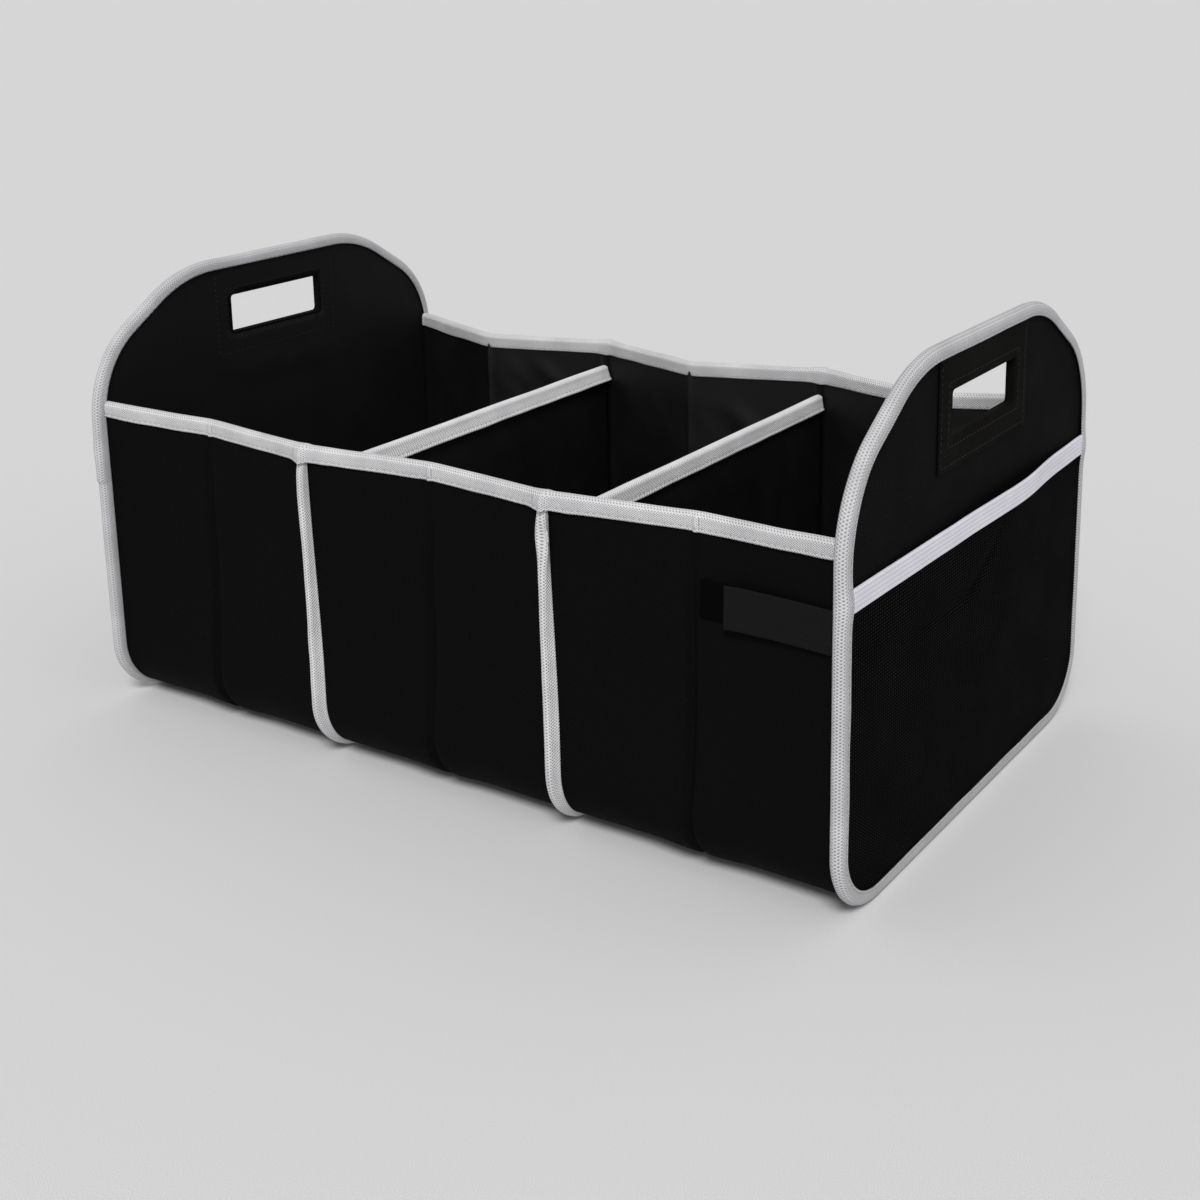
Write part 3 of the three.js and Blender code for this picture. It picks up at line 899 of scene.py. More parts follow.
@dataclass
class Compartment:
    """One compartment: walls of outer cloth over boards, a lining and a loose base board."""

    plan: Plan
    bay: Bay
    wardrobe: Wardrobe
    columns: int = 54
    rows: int = 132
    slack: float = 0.9 * MM
    wrinkle_size: float = 62 * MM
    fine_wrinkle_size: float = 21 * MM
    fold_sway: Wave = Wave(1.2 * MM, 70 * MM)
    fold_width: float = 2.7 * MM
    valley: Bulge = Bulge(3.3 * MM, 0.0, 22 * MM)
    ridge: Bulge = Bulge(0.55 * MM, -3.2 * MM, 1.3 * MM)
    board_gap: float = 0.25 * MM
    lining_slack: float = 2.7 * MM
    lining_wrinkle_size: float = 48 * MM
    crease_width: float = 17 * MM
    crease_length: float = 70 * MM
    crease_start: float = 30 * MM
    lining_fold: Bulge = Bulge(2.1 * MM, 0.0, 1.9 * MM)
    crowding: float = 1.45
    board_reach: float = 8 * MM
    base_corner: float = 9 * MM
    base_rim: float = 0.9 * MM
    boards: list[str] = field(init=False)
    board_faces: BVHTree = field(init=False)

    def __post_init__(self) -> None:
        """Gathers the boards' faces, which the cloth is kept clear of."""
        walls = ("front", "back")
        self.boards = [f"{self.bay.name}_bay_{wall}_board_{half}" for wall in walls for half in "ab"]
        shape = bmesh.new()
        for board in self.boards:
            shape.from_mesh(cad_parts[board].data)
        self.board_faces = BVHTree.FromBMesh(shape)
        shape.free()

    def board_lift(self, point: Vector, way: Vector) -> float:
        """How far cloth must stand off its place to clear a board.

        Args:
            point: The cloth's place.
            way: The direction that it stands off in.

        Returns:
            The distance, below zero where it is clear already.
        """
        reach = self.board_reach
        away = self.board_faces.ray_cast(point + way * reach, -way, 2 * reach)[3]
        return -reach if away is None else reach - away + self.plan.cloth + self.board_gap

    def spread(self, share: float) -> float:
        """Crowds the columns towards the middle fold."""
        away = 2 * share - 1
        return 0.5 + 0.5 * math.copysign(abs(away) ** self.crowding, away)

    def outer_point(self, along: float, across: float) -> Vector:
        """Where the outer cloth lies, from its shares along the length and round the walls.

        Args:
            along: Share of the compartment's length.
            across: Share of the way round, from the front top edge.

        Returns:
            The point.
        """
        plan, bay = self.plan, self.bay
        x = between(bay.start, bay.end, along)
        point, way = plan.wall(x, across, plan.cloth_top)
        held = slack_within(along, 6) * slack_within(across, 9)
        loose = 0.5 + 0.5 * ripple(x, point.y * 0.4, point.z, self.wrinkle_size)
        fine = 0.5 + 0.5 * ripple(x * 1.6, point.y, point.z * 0.7 + 0.4, self.fine_wrinkle_size)
        lift = self.slack * held * (0.75 * loose + 0.25 * fine)
        fold = x - bay.middle + self.fold_sway.at(0.0, point.z, bay.start)
        beside_fold = (1 - hump(fold, 0.0, self.fold_width)) * self.valley.at(fold) + self.ridge.at(fold)
        lift += beside_fold * slack_within(across, 12) * abs(way.y)
        return point + way * max(lift, self.board_lift(point, way))

    def lining_point(self, along: float, across: float) -> Vector:
        """Where the lining's shown face lies, inside the boards.

        Args:
            along: Share of the compartment's length.
            across: Share of the way round, from the front top edge.

        Returns:
            The point.
        """
        plan, bay = self.plan, self.bay
        x = between(bay.start, bay.end, along)
        point, way = plan.wall(x, across, plan.cloth_top, soft=False)
        upright = abs(way.y) > 0.9
        held = slack_within(along, 5) * slack_within(across, 30)
        down_right, up_right = (x + point.z) / self.crease_width, (x - point.z) / self.crease_length
        slant = noise.noise(Vector((down_right, up_right, point.y)))
        loose = 0.5 + 0.5 * ripple(x, point.y * 0.3 + 0.2, point.z, self.lining_wrinkle_size)
        fold = x - bay.middle
        right_half = min(max(0.35 + fold / self.crease_start, 0.3), 1.0)
        lift = self.lining_slack * held * (0.4 * loose + 1.1 * max(slant, 0.0) * right_half)
        lift += self.lining_fold.at(fold) * slack_within(across, 60)
        place = point - way * plan.lining_depth
        return place - way * max(lift if upright else 0.0, self.board_lift(place, -way))

    def build(self) -> None:
        """Builds and dresses the compartment's pieces."""
        plan, name, thin = self.plan, self.bay.name, self.plan.cloth
        width = 2 * math.hypot((self.bay.end - self.bay.start) / 2, plan.front_pleat)
        run, counts, spread = (width, plan.wall_length()), (self.columns, self.rows), self.spread
        outer = draped_grid(f"{name}_wall_cloth", counts, run, self.outer_point, DOWN, thin, spread=spread)
        lining = draped_grid(f"{name}_wall_lining", counts, run, self.lining_point, UP, thin, spread=spread)
        self.wardrobe.finish_piece(outer, Finish.OUTER, f"{name}_bay_outer_fabric")
        self.wardrobe.finish_piece(lining, Finish.LINING, f"{name}_bay_lining")
        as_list(self.boards)
        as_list(self.boards)
        for board in self.boards:
            self.wardrobe.dress(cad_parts[board], Finish.BOARD)
        self.base_board()

    def base_board(self) -> None:
        """Wraps the loose base board in lining cloth with softened edges."""
        low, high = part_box(f"{self.bay.name}_base_board")
        size, centre = high - low, (low + high) / 2
        block = Matrix.Translation(centre) @ Matrix.Diagonal((*size, 1))

        def upright(edge: BMEdge) -> bool:
            """Whether an edge stands at the board's corner."""
            return abs((edge.verts[0].co - edge.verts[1].co).z) > size.z / 2

        shape = bmesh.new()
        bmesh.ops.create_cube(shape, size=1.0, matrix=block)
        corners = [edge for edge in shape.edges if upright(edge)]
        bmesh.ops.bevel(
            shape, geom=corners, offset=self.base_corner, affect="EDGES", segments=5, profile=0.5, material=-1
        )
        level = [edge for edge in shape.edges if not upright(edge) and len(edge.link_faces) == 2]
        rims = [edge for edge in level if edge.link_faces[0].normal.angle(edge.link_faces[1].normal, 0.0) > 1]
        bmesh.ops.bevel(
            shape, geom=rims, offset=self.base_rim, affect="EDGES", segments=3, profile=0.5, material=-1
        )
        set_uv(shape, lambda vert: (vert.co.x + vert.co.z, vert.co.y + vert.co.z))
        board = new_piece(f"{self.bay.name}_base_panel", shape)
        self.wardrobe.finish_piece(board, Finish.LINING, f"{self.bay.name}_base_board")


# Dividers


@dataclass
class Divider:
    """A divider: a board in a folded sleeve, taped on top and along the seam outside."""

    plan: Plan
    side: Side
    wardrobe: Wardrobe
    half_board: float = 1.0 * MM
    slack: float = 1.3 * MM
    wrinkle_size: float = 55 * MM
    crease_size: float = 40 * MM
    web_proud: float = 0.6 * MM
    web_proud_under_tape: float = 0.4 * MM
    fin_half: float = 2.7 * MM
    fin_sway: Wave = Wave(0.9 * MM, 60 * MM)
    fin_fine_sway: Wave = Wave(0.3 * MM, 14 * MM)
    fin_loss: Wave = Wave(0.7 * MM, 30 * MM)
    fin_end_loss: Bulge = Bulge(2.0 * MM, 0.0, 6 * MM)
    lean_run: float = 130 * MM
    gape: Bulge = Bulge(1.5 * MM, 18 * MM, 12 * MM)
    gape_sway: Bulge = Bulge(0.9 * MM, 24 * MM, 9 * MM)
    gape_slit: Bulge = Bulge(3.4 * MM, 15 * MM, 8 * MM)
    pinch: float = 0.6 * MM
    pinch_size: float = 38 * MM
    splay: float = 3.4 * MM
    lean: float = 1.6 * MM
    tucked: float = 2.2 * MM
    flare: float = 1.5 * MM
    groove: float = 0.35 * MM
    tape_shown: float = 8.4 * MM
    tape_leg: float = 0.38
    tape_crown: float = 2 * MM
    tape_crest: Wave = Wave(0.3 * MM, 45 * MM)
    tape_edge: Wave = Wave(0.5 * MM, 26 * MM)
    tape_bow: Wave = Wave(0.5 * MM, 40 * MM)
    fin_leg: float = 0.36
    fin_shoulder: float = 0.72
    scallop: float = 0.12 * MM
    pitch: float = 0.8 * MM
    stitches: int = 70

    @property
    def name(self) -> str:
        """The divider's name."""
        return self.side.name.lower()

    @property
    def x(self) -> float:
        """The divider's middle plane."""
        return self.side * self.plan.divider_x

    def edge(self, z: float, inset: float) -> float:
        """Half the divider's width at a height, inset from the walls' outer face.

        Args:
            z: Height.
            inset: How far inside the walls' outer face.

        Returns:
            Half the width, in metres.
        """
        plan = self.plan
        radius = plan.corner - inset
        depth = min(max(plan.arch - z, 0.0), radius)
        return plan.half_width - plan.corner + math.sqrt(max(radius**2 - depth**2, 0.0))

    def sleeve_point(self, along: float, across: float) -> Vector:
        """Where the sleeve lies: along the width, and down one face and up the other.

        Args:
            along: Share of the way along, from 0 to 1.
            across: Share of the way across, from 0 to 1.

        Returns:
            The point.
        """
        plan = self.plan
        inset = plan.lining_depth + plan.gap
        floor = plan.seam_rise + inset
        half = self.half_board + plan.gap + plan.cloth
        drop = abs(2 * across - 1)
        z = between(floor, plan.divider_top, drop)
        y = between(-1, 1, along) * self.edge(z, inset)
        face = math.copysign(1.0, across - 0.5)
        held = slack_within(along, 5) * slack_within(drop, 5)
        loose = 0.5 + 0.5 * ripple(y, z * 1.3, face * 3.0 + self.side, self.wrinkle_size)
        loose += 0.9 * max(0.0, ripple(y * 2.2, z * 0.5, face * 5.0 - self.side, self.crease_size))
        round_in = min(1.0, (z - floor) / half + 0.35) if drop < 0.03 else 1.0
        return Vector((self.x + face * (half * round_in + self.slack * held * loose), y, z))

    def web_point(self, along: float, across: float) -> Vector:
        """Where the seam's turned edges lie between two compartments.

        Args:
            along: Share of the way along, from 0 to 1.
            across: Share of the way across, from 0 to 1.

        Returns:
            The point.
        """
        plan, margin = self.plan, 1 * MM
        point, way = plan.wall(self.x + plan.seam_margin, along, plan.wall_top - margin)
        under_tape = point.z > plan.tape_foot - margin
        proud = self.web_proud_under_tape if under_tape else self.web_proud
        out = between(-plan.lining_depth, proud, across)
        return Vector((self.x + plan.cloth, point.y, point.z)) + way * out

    def fin_profile(self, share: float, pinch: float, splay: float) -> tuple[float, float]:
        """Across the seam's tape: its sideways place and its share of the height.

        Args:
            share: Across the tape, from its left to its right edge.
            pinch: How far its fold is squeezed.
            splay: How far its right edge stands off to the right.

        Returns:
            Both, the first in metres.
        """
        half, leg, shoulder = self.fin_half - pinch, self.fin_leg, self.fin_shoulder
        if share < leg:
            rise = share / leg
            return -between(self.fin_half, half, rise), rise * shoulder
        if share > 1 - leg:
            rise = (1 - share) / leg
            return between(self.fin_half + splay, half, rise), rise**1.25 * shoulder
        angle = math.pi * (share - leg) / (1 - 2 * leg)
        return -half * math.cos(angle), between(shoulder, 1.0, math.sin(angle))

    def fin_point(self, along: float, across: float) -> Vector:
        """Where the tape on the outer seam lies: along the seam and across the tape.

        Args:
            along: Share of the way along, from 0 to 1.
            across: Share of the way across, from 0 to 1.

        Returns:
            The point.
        """
        plan = self.plan
        point, way = plan.wall(self.x + plan.seam_margin, along, plan.tape_foot + self.tucked)
        run = along * plan.wall_length(plan.tape_foot)
        sway = self.fin_sway.at(run, self.side * 5.0, 0.3) + self.fin_fine_sway.at(run, self.side * 2.0, 1.3)
        pinch = self.pinch * (0.55 + 0.9 * ripple(run, 2.7, self.side, self.pinch_size))
        height_loss = max(0.0, self.fin_loss.at(run, 9.1, self.side)) + self.fin_end_loss.at(run)
        flat = way.z**2
        down = min(run / self.lean_run, 1.0)
        ease = down * down * (3 - 2 * down) * (1 - 0.75 * flat)
        sway += self.lean * ease
        if self.side is Side.RIGHT:
            pinch -= self.gape.at(run)
            sway += self.gape_sway.at(run)
            height_loss += self.gape_slit.at(run) * hump(across, 0.55, 0.09)
        across_place, height = self.fin_profile(across, pinch, self.splay * ease)
        tall = between(plan.divider_seam, plan.seam_rise, flat) - height_loss * (1 - flat)
        scallop = self.scallop * abs(math.sin(math.pi * run / self.pitch)) if across in (0.0, 1.0) else 0.0
        x = self.x + across_place + sway * height * (1 - 0.6 * flat)
        return Vector((x, point.y, point.z)) + way * (between(plan.gap, tall, height) + scallop)

    def tape_point(self, along: float, across: float) -> Vector:
        """Where the tape on the divider's top lies: along the width and across the tape.

        Args:
            along: Share of the way along, from 0 to 1.
            across: Share of the way across, from 0 to 1.

        Returns:
            The point.
        """
        plan = self.plan
        reach = plan.half_width - plan.lining_depth - 1.2 * MM
        y = between(-reach, reach, along)
        half = self.half_board + 2 * plan.gap + plan.cloth + plan.tape
        top = plan.divider_top + plan.gap + plan.tape + self.tape_crest.at(y, self.side, 0.0)
        foot = plan.divider_top - self.tape_shown + self.tape_edge.at(y, self.side * 3.0, 0.7)
        bow = self.tape_bow.at(y, 4.4, self.side)
        leg, crown = self.tape_leg, self.tape_crown
        rise = min(across, 1 - across) / leg
        if rise < 1:
            flare = self.flare * (1 if self.side is Side.RIGHT else 2)
            stand = half + flare * (1 - rise) ** 1.5 + max(bow, -0.1 * MM) * math.sin(math.pi * rise)
            stand -= self.groove * hump(rise, 0.25, 0.09)
            return Vector((self.x + math.copysign(stand, across - 0.5), y, between(foot, top - crown, rise)))
        angle = math.pi * (across - leg) / (1 - 2 * leg)
        return Vector((self.x - half * math.cos(angle), y, top - crown + crown * math.sin(angle)))

    def build(self) -> None:
        """Builds and dresses the divider's pieces."""
        plan, name, thin = self.plan, self.name, self.plan.cloth
        height = plan.divider_top - plan.seam_rise - plan.lining_depth
        width = 2 * (plan.half_width - plan.lining_depth)
        size = (width, 2 * height)
        sleeve = draped_grid(f"{name}_divider_cloth", (80, 96), size, self.sleeve_point, DOWN, thin)
        self.wardrobe.finish_piece(sleeve, Finish.LINING, f"{name}_divider_sleeve")
        size, to_right = (plan.wall_length(), plan.lining_depth + 0.5 * MM), Vector((1, 0, 0))
        web = draped_grid(f"{name}_divider_seam_edge", (150, 2), size, self.web_point, to_right, 2 * thin)
        self.wardrobe.finish_piece(web, Finish.LINING)
        size = (plan.wall_length(plan.tape_foot), 2 * plan.divider_seam)
        fin = draped_grid(f"{name}_divider_seam_tape_cloth", (780, 14), size, self.fin_point, DOWN, plan.tape)
        self.wardrobe.finish_piece(fin, Finish.TAPE, f"{name}_divider_seam_tape")
        size = (2 * plan.half_width - 10 * MM, 2 * self.tape_shown + 6 * MM)
        tape = draped_grid(f"{name}_divider_tape", (300, 22), size, self.tape_point, UP, plan.tape)
        # Its finish is the binding tape drawn brighter, as painted light.
        self.wardrobe.finish_piece(tape, Finish.DIVIDER_TAPE_PAINTED_LIGHT, f"{name}_divider_top_tape")
        self.wardrobe.dress(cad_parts[f"{name}_divider_board"], Finish.BOARD)
        seats = []
        for step in range(self.stitches):
            along = (step + 0.5) / self.stitches
            for across, way in ((0.1, -1), (0.9, 1)):
                point = self.tape_point(along, across)
                seats.append(Seat(point, Vector((0, 1, 0)), Vector((way, 0, 0))))
        self.wardrobe.finish_piece(stitch_row(f"{name}_divider_tape_stitches", seats), Finish.PALE_THREAD)


# Tapes along the walls' top


@dataclass
class WallTape:
    """The tape folded over the top edge of the front or the back wall, in one run."""

    plan: Plan
    wall: Wall
    wardrobe: Wardrobe
    stand_off: float = 0.81 * MM
    shown: float = 7.8 * MM
    ridge: float = 2.6 * MM
    groove: float = 0.4 * MM
    sag: float = 1.5 * MM
    perk: float = 1.8 * MM
    swell: float = 3.2 * MM
    seam_bulges: tuple[Bulge, ...] = (
        Bulge(1.0, 0.0, 6.0 * MM),
        Bulge(0.45, 1 * MM, 1.7 * MM),
        Bulge(0.25, 14 * MM, 5 * MM),
        Bulge(-0.3, 4.5 * MM, 1.8 * MM),
    )
    fold_creases: tuple[Bulge, ...] = (
        Bulge(1.1 * MM, 2 * MM, 1.6 * MM),
        Bulge(-0.66 * MM, -2 * MM, 2.2 * MM),
    )
    wobble: Wave = Wave(0.35 * MM, 30 * MM)
    crest: Wave = Wave(0.3 * MM, 24 * MM)
    edge: Wave = Wave(0.4 * MM, 19 * MM)
    scallop: float = 0.28 * MM
    pitch: float = 1.6 * MM
    leg: float = 0.4
    stitch_pitch: float = 4.2 * MM
    reach: float = field(init=False)

    def __post_init__(self) -> None:
        """Reads how far the tape runs each way, to the end panels' tape."""
        self.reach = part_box("front_top_tape")[1].x

    def line(self, x: float) -> float:
        """Where the wall lies at its top edge."""
        if self.wall is Wall.FRONT:
            return self.plan.front(x, self.plan.wall_top)
        return self.plan.back(x, self.plan.wall_top)

    def thickening(self, x: float) -> float:
        """How far the turned-in seams push the tape out, at each divider.

        Args:
            x: Place along the length.

        Returns:
            A share of the tape's swell.
        """
        seams = [side * self.plan.divider_x for side in Side]
        return sum(bulge.at(x, seam) for seam in seams for bulge in self.seam_bulges)

    def creases(self, x: float) -> float:
        """Small folds in the tape beside each middle fold.

        Args:
            x: Place along the length.

        Returns:
            Their height, in metres.
        """
        return sum(crease.at(x, bay.middle) for bay in self.plan.bays for crease in self.fold_creases)

    def point(self, along: float, across: float) -> Vector:
        """Where the tape lies: along the wall, and across from its outer to its inner edge.

        Args:
            along: Share of the way along, from 0 to 1.
            across: Share of the way across, from 0 to 1.

        Returns:
            The point.
        """
        plan = self.plan
        x = between(-self.reach, self.reach, along)
        seed = self.wall * 7.0
        outer = self.stand_off + plan.tape
        inner = -(plan.lining_depth + plan.gap + plan.tape)
        wobble = self.wobble.at(x, seed, 0.1)
        swell = self.swell * self.thickening(x)
        bulge = swell + max(wobble, 0.0) + max(self.creases(x), -0.3 * MM)
        level = plan.wall_top + between(-self.sag, self.perk, (x / self.reach) ** 4)
        top = level + plan.gap + plan.tape + self.crest.at(x, seed, 3.3) + 0.15 * swell
        foot = level - self.shown + self.edge.at(x, seed, 5.3) - 0.15 * swell
        if across in (0.0, 1.0):
            foot -= self.scallop * abs(math.sin(math.pi * x / self.pitch))
        leg, shoulder = self.leg, top - self.ridge
        if across < leg:
            rise = across / leg
            z = between(foot, shoulder, rise)
            out = outer + bulge * (1 - 0.35 * rise**2) - self.groove * hump(rise, 0.24, 0.08)
        elif across > 1 - leg:
            rise = (1 - across) / leg
            z = between(foot, shoulder, rise)
            out = inner - max(-wobble, 0.0) * math.sin(math.pi * rise)
        else:
            angle = math.pi * (across - leg) / (1 - 2 * leg)
            top_out = outer + 0.65 * bulge
            z = shoulder + self.ridge * math.sin(angle)
            out = (top_out + inner) / 2 + (top_out - inner) / 2 * math.cos(angle)
        return Vector((x, self.line(x) + self.wall * out, z))

    def build(self) -> None:
        """Builds the tape, its stitching and the tacks across it."""
        plan = self.plan
        name = self.wall.name.lower()
        size = (2 * self.reach, 2 * self.shown + 8 * MM)
        tape = draped_grid(f"{name}_wall_tape", (720, 22), size, self.point, UP, plan.tape)
        self.wardrobe.finish_piece(tape, Finish.TAPE, f"{name}_top_tape")
        [f"{bay.name}_wall_cloth" for bay in plan.bays]
        seats, nudge = [], 0.001
        count = round(2 * self.reach / self.stitch_pitch)
        for step in range(count):
            along = (step + 0.5) / count
            for across, way in ((0.09, self.wall), (0.91, -self.wall)):
                ahead = self.point(clamp(along + nudge), across) - self.point(clamp(along - nudge), across)
                seats.append(Seat(self.point(along, across), ahead, Vector((0, way, 0))))
        tacks = [bay.middle + 4 * MM for bay in plan.bays]
        tacks += [side * plan.divider_x - 5 * MM for side in Side]
        for x in tacks:
            along = (x + self.reach) / (2 * self.reach)
            for across in (0.12, 0.24, 0.36):
                seats.append(Seat(self.point(along, across), UP, Vector((0, self.wall, 0))))
        self.wardrobe.finish_piece(stitch_row(f"{name}_wall_tape_stitches", seats), Finish.PALE_THREAD)


# End panels


@dataclass
class Outline:
    """A closed outline in the YZ plane, followed at an even pace, with outward directions."""

    corners: Sequence[tuple[float, float, float]]
    step: float = 0.8 * MM
    points: list[tuple[Vector, Vector]] = field(init=False, default_factory=list)
    lengths: list[float] = field(init=False, default_factory=list)
    length: float = field(init=False)

    def __post_init__(self) -> None:
        """Rounds each corner (y, z, radius), given anticlockwise as seen from +X."""
        count = len(self.corners)
        for i, (y, z, radius) in enumerate(self.corners):
            here = Vector((y, z))
            before = (here - Vector(self.corners[i - 1][:2])).normalized()
            after = (Vector(self.corners[(i + 1) % count][:2]) - here).normalized()
            turn = math.atan2(before.x * after.y - before.y * after.x, before.dot(after))
            start = here - before * radius * math.tan(abs(turn) / 2)
            steps = max(2, round(abs(turn) * radius / self.step))
            centre = start + Vector((-before.y, before.x)) * radius
            for k in range(steps + 1):
                way = Vector((before.y, -before.x))
                way.rotate(Matrix.Rotation(turn * k / steps, 2))
                self.points.append((centre + way * radius, way))
        total = 0.0
        for i, (point, _) in enumerate(self.points):
            self.lengths.append(total)
            total += (self.points[(i + 1) % len(self.points)][0] - point).length
        self.length = total

    def at(self, share: float) -> tuple[Vector, Vector]:
        """The point and outward direction at a share of the way round.

        Args:
            share: From 0 to 1.

        Returns:
            Both as (y, z).
        """
        run = (share % 1.0) * self.length
        low = bisect_right(self.lengths, run) - 1
        nearby = (low + 1) % len(self.points)
        end = self.length if nearby == 0 else self.lengths[nearby]
        part = (run - self.lengths[low]) / max(end - self.lengths[low], 1e-9)
        point = self.points[low][0].lerp(self.points[nearby][0], part)
        way = self.points[low][1].lerp(self.points[nearby][1], part).normalized()
        return point, way


@dataclass(frozen=True)
class HandHole:
    """The hand hole's edges in the panel's plane."""

    low_y: float
    high_y: float
    low_z: float
    high_z: float
    widest: ClassVar[float] = 45 * MM
    lowest: ClassVar[float] = 200 * MM
    highest: ClassVar[float] = 245 * MM

    @classmethod
    def from_board(cls, node: str) -> "HandHole":
        """Finds the hole's edges among the vertices inside a board's outline.

        Args:
            node: The board's node.

        Returns:
            The hole.
        """
        points = [vert.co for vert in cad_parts[node].data.vertices]
        rim = [p for p in points if abs(p.y) < cls.widest and cls.lowest < p.z < cls.highest]
        sides, heights = [p.y for p in rim], [p.z for p in rim]
        return cls(min(sides), max(sides), min(heights), max(heights))

    def holds(self, point: Vector, margin: float) -> bool:
        """Whether a point is inside the hole or within a margin of it."""
        beside = self.low_y - margin < point.y < self.high_y + margin
        return beside and self.low_z - margin < point.z < self.high_z + margin

    def distance(self, point: Vector) -> float:
        """How far a point lies from the hole.

        Args:
            point: A point of the panel.

        Returns:
            The distance, 0 inside the hole.
        """
        away_y = max(self.low_y - point.y, point.y - self.high_y, 0.0)
        away_z = max(self.low_z - point.z, point.z - self.high_z, 0.0)
        return math.hypot(away_y, away_z)

    def outward(self, point: Vector) -> Vector:
        """The way out from the hole at its rim: a unit sideways, up or down, or both at a corner.

        Args:
            point: A point of the rim.

        Returns:
            The direction, with 0 along X.
        """
        away_y = point.y - (self.low_y + self.high_y) / 2
        away_z = point.z - (self.low_z + self.high_z) / 2
        at_side = abs(away_y) > 0.4 * (self.high_y - self.low_y)
        at_end = abs(away_z) > 0.4 * (self.high_z - self.low_z)
        return Vector((0, math.copysign(1, away_y) * at_side, math.copysign(1, away_z) * at_end))


@dataclass
class EndPanel:
    """An end panel: cloth on both faces of a board, a taped edge, a patched hand hole and a pocket."""

    plan: Plan
    side: Side
    wardrobe: Wardrobe
    shoulder_height: float = 213.976 * MM
    shoulder_radius: float = 58 * MM
    crown_width: float = 160 * MM
    crown_radius: float = 85 * MM
    middle_height: float = 132 * MM
    cell: float = 7 * MM
    cloth_margin: float = 5.4 * MM
    cloth_foot: float = 2 * MM
    cloth_fill: float = 0.9
    tuck: float = 2.2 * MM
    tuck_reach: float = 32 * MM
    outer_slack: float = 0.35 * MM
    outer_wrinkle_size: float = 50 * MM
    inner_slack: float = 1.0 * MM
    inner_wrinkle_size: float = 45 * MM
    inner_crease_size: float = 26 * MM
    fold_line: float = 186 * MM
    fold_sway: Wave = Wave(5 * MM, 60 * MM)
    level_fold: float = 1.5 * MM
    upright_fold: float = 1.3 * MM
    hole_lip: float = 0.35 * MM
    lip_cloth: float = 0.3 * MM
    lip_return: float = 0.9 * MM
    lip_steps: int = 3
    patch_drop: float = 3.2 * MM
    tape_shown: float = 6.9 * MM
    tape_under: float = 1.4 * MM
    back_shown: float = 2.2 * MM
    tape_leg: float = 0.38
    tape_shoulder: float = 3.1 * MM
    tape_edge: Wave = Wave(0.35 * MM, 26 * MM)
    tape_bow: Wave = Wave(0.35 * MM, 33 * MM)
    tape_crest: Wave = Wave(0.3 * MM, 40 * MM)
    tape_over_elastic: float = 1.1 * MM
    tape_inner_lean: float = 0.5 * MM
    tape_outer_lean: float = 0.6 * MM
    groove: float = 0.35 * MM
    scallop: float = 0.28 * MM
    pitch: float = 1.6 * MM
    join: float = 142 * MM
    join_step: float = 1.1 * MM
    join_rise: float = 1.5 * MM
    join_fade: float = 70 * MM
    net_foot: float = 6 * MM
    net_cloth: float = 0.4 * MM
    net_slack: Wave = Wave(0.7 * MM, 40 * MM)
    net_crease: float = 1.6 * MM
    pocket_bulge: float = 5.2 * MM
    pocket_reach: float = 50 * MM
    pocket_sill: float = 12 * MM
    ribs: int = 5
    rib_depth: float = 0.4 * MM
    elastic_cloth: float = 0.7 * MM
    elastic_stand: float = 1.3 * MM
    elastic_rise: float = 1.9 * MM
    elastic_edge: Wave = Wave(0.3 * MM, 40 * MM)
    elastic_wave: Wave = Wave(0.5 * MM, 36 * MM)
    bow_centre: float = 52 * MM
    stitch_pitch: float = 4.2 * MM
    patch_pitch: float = 3.6 * MM
    patch_inset: float = 3 * MM
    patch_top: float = 11 * MM
    hole_ring: float = 4 * MM
    outline: Outline = field(init=False)
    hole: HandHole = field(init=False)
    inner_leg: float = field(init=False)
    pocket_top: float = field(init=False)
    elastic_edges: tuple[float, float] = field(init=False)

    def __post_init__(self) -> None:
        """Follows the panel's outline inside its seam and reads the frame's own sizes."""
        plan, name = self.plan, self.name
        y, crown = plan.half_width, plan.panel_top - plan.panel_seam
        half = self.crown_width / 2
        right_hand = [
            (y, plan.seam_rise, plan.corner),
            (y, self.shoulder_height, self.shoulder_radius),
            (half, crown, self.crown_radius),
        ]
        left_hand = [(-y, z, radius) for y, z, radius in reversed(right_hand)]
        self.outline = Outline(right_hand + left_hand)
        self.hole = HandHole.from_board(f"{name}_end_board")
        self.inner_leg = min(abs(corner.x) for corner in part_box(f"{name}_end_tape"))
        self.pocket_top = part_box(f"{name}_mesh_pocket")[1].z
        low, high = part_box(f"{name}_pocket_elastic")
        self.elastic_edges = (low.z, high.z)

    @property
    def name(self) -> str:
        """The panel's name."""
        return self.side.name.lower()

    @property
    def face_x(self) -> float:
        """How far out the face of the outer cloth lies."""
        return self.plan.end_x + self.plan.gap + self.plan.cloth

    def face_cloth(self, node: str, outward: int, wrinkle: Callable[[Vector], float], tuck: float) -> BMesh:
        """Cuts one face of a flat node into a fine net of faces and lets it wrinkle.

        Args:
            node: The frame's node.
            outward: The side that shows, 1 for +X.
            wrinkle: How far a point stands out of the flat, in metres.
            tuck: How far the outer edge is drawn in, and twice that at the shoulders.

        Returns:
            The face's mesh, with its UV map.
        """
        shape = bmesh.new()
        shape.from_mesh(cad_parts[node].data)
        bmesh.ops.remove_doubles(shape, verts=shape.verts, dist=1e-6)
        shape.normal_update()
        others = [face for face in shape.faces if face.normal.x * outward < 0.9]
        bmesh.ops.delete(shape, geom=others, context="FACES")
        bmesh.ops.dissolve_limit(shape, angle_limit=0.02, verts=shape.verts, edges=shape.edges)
        if tuck:
            self.draw_in(shape, tuck)
        self.cut_net(shape)
        set_uv(shape, lambda vert: (vert.co.y, vert.co.z))
        for vert in shape.verts:
            vert.co.x += outward * wrinkle(vert.co)
        return shape

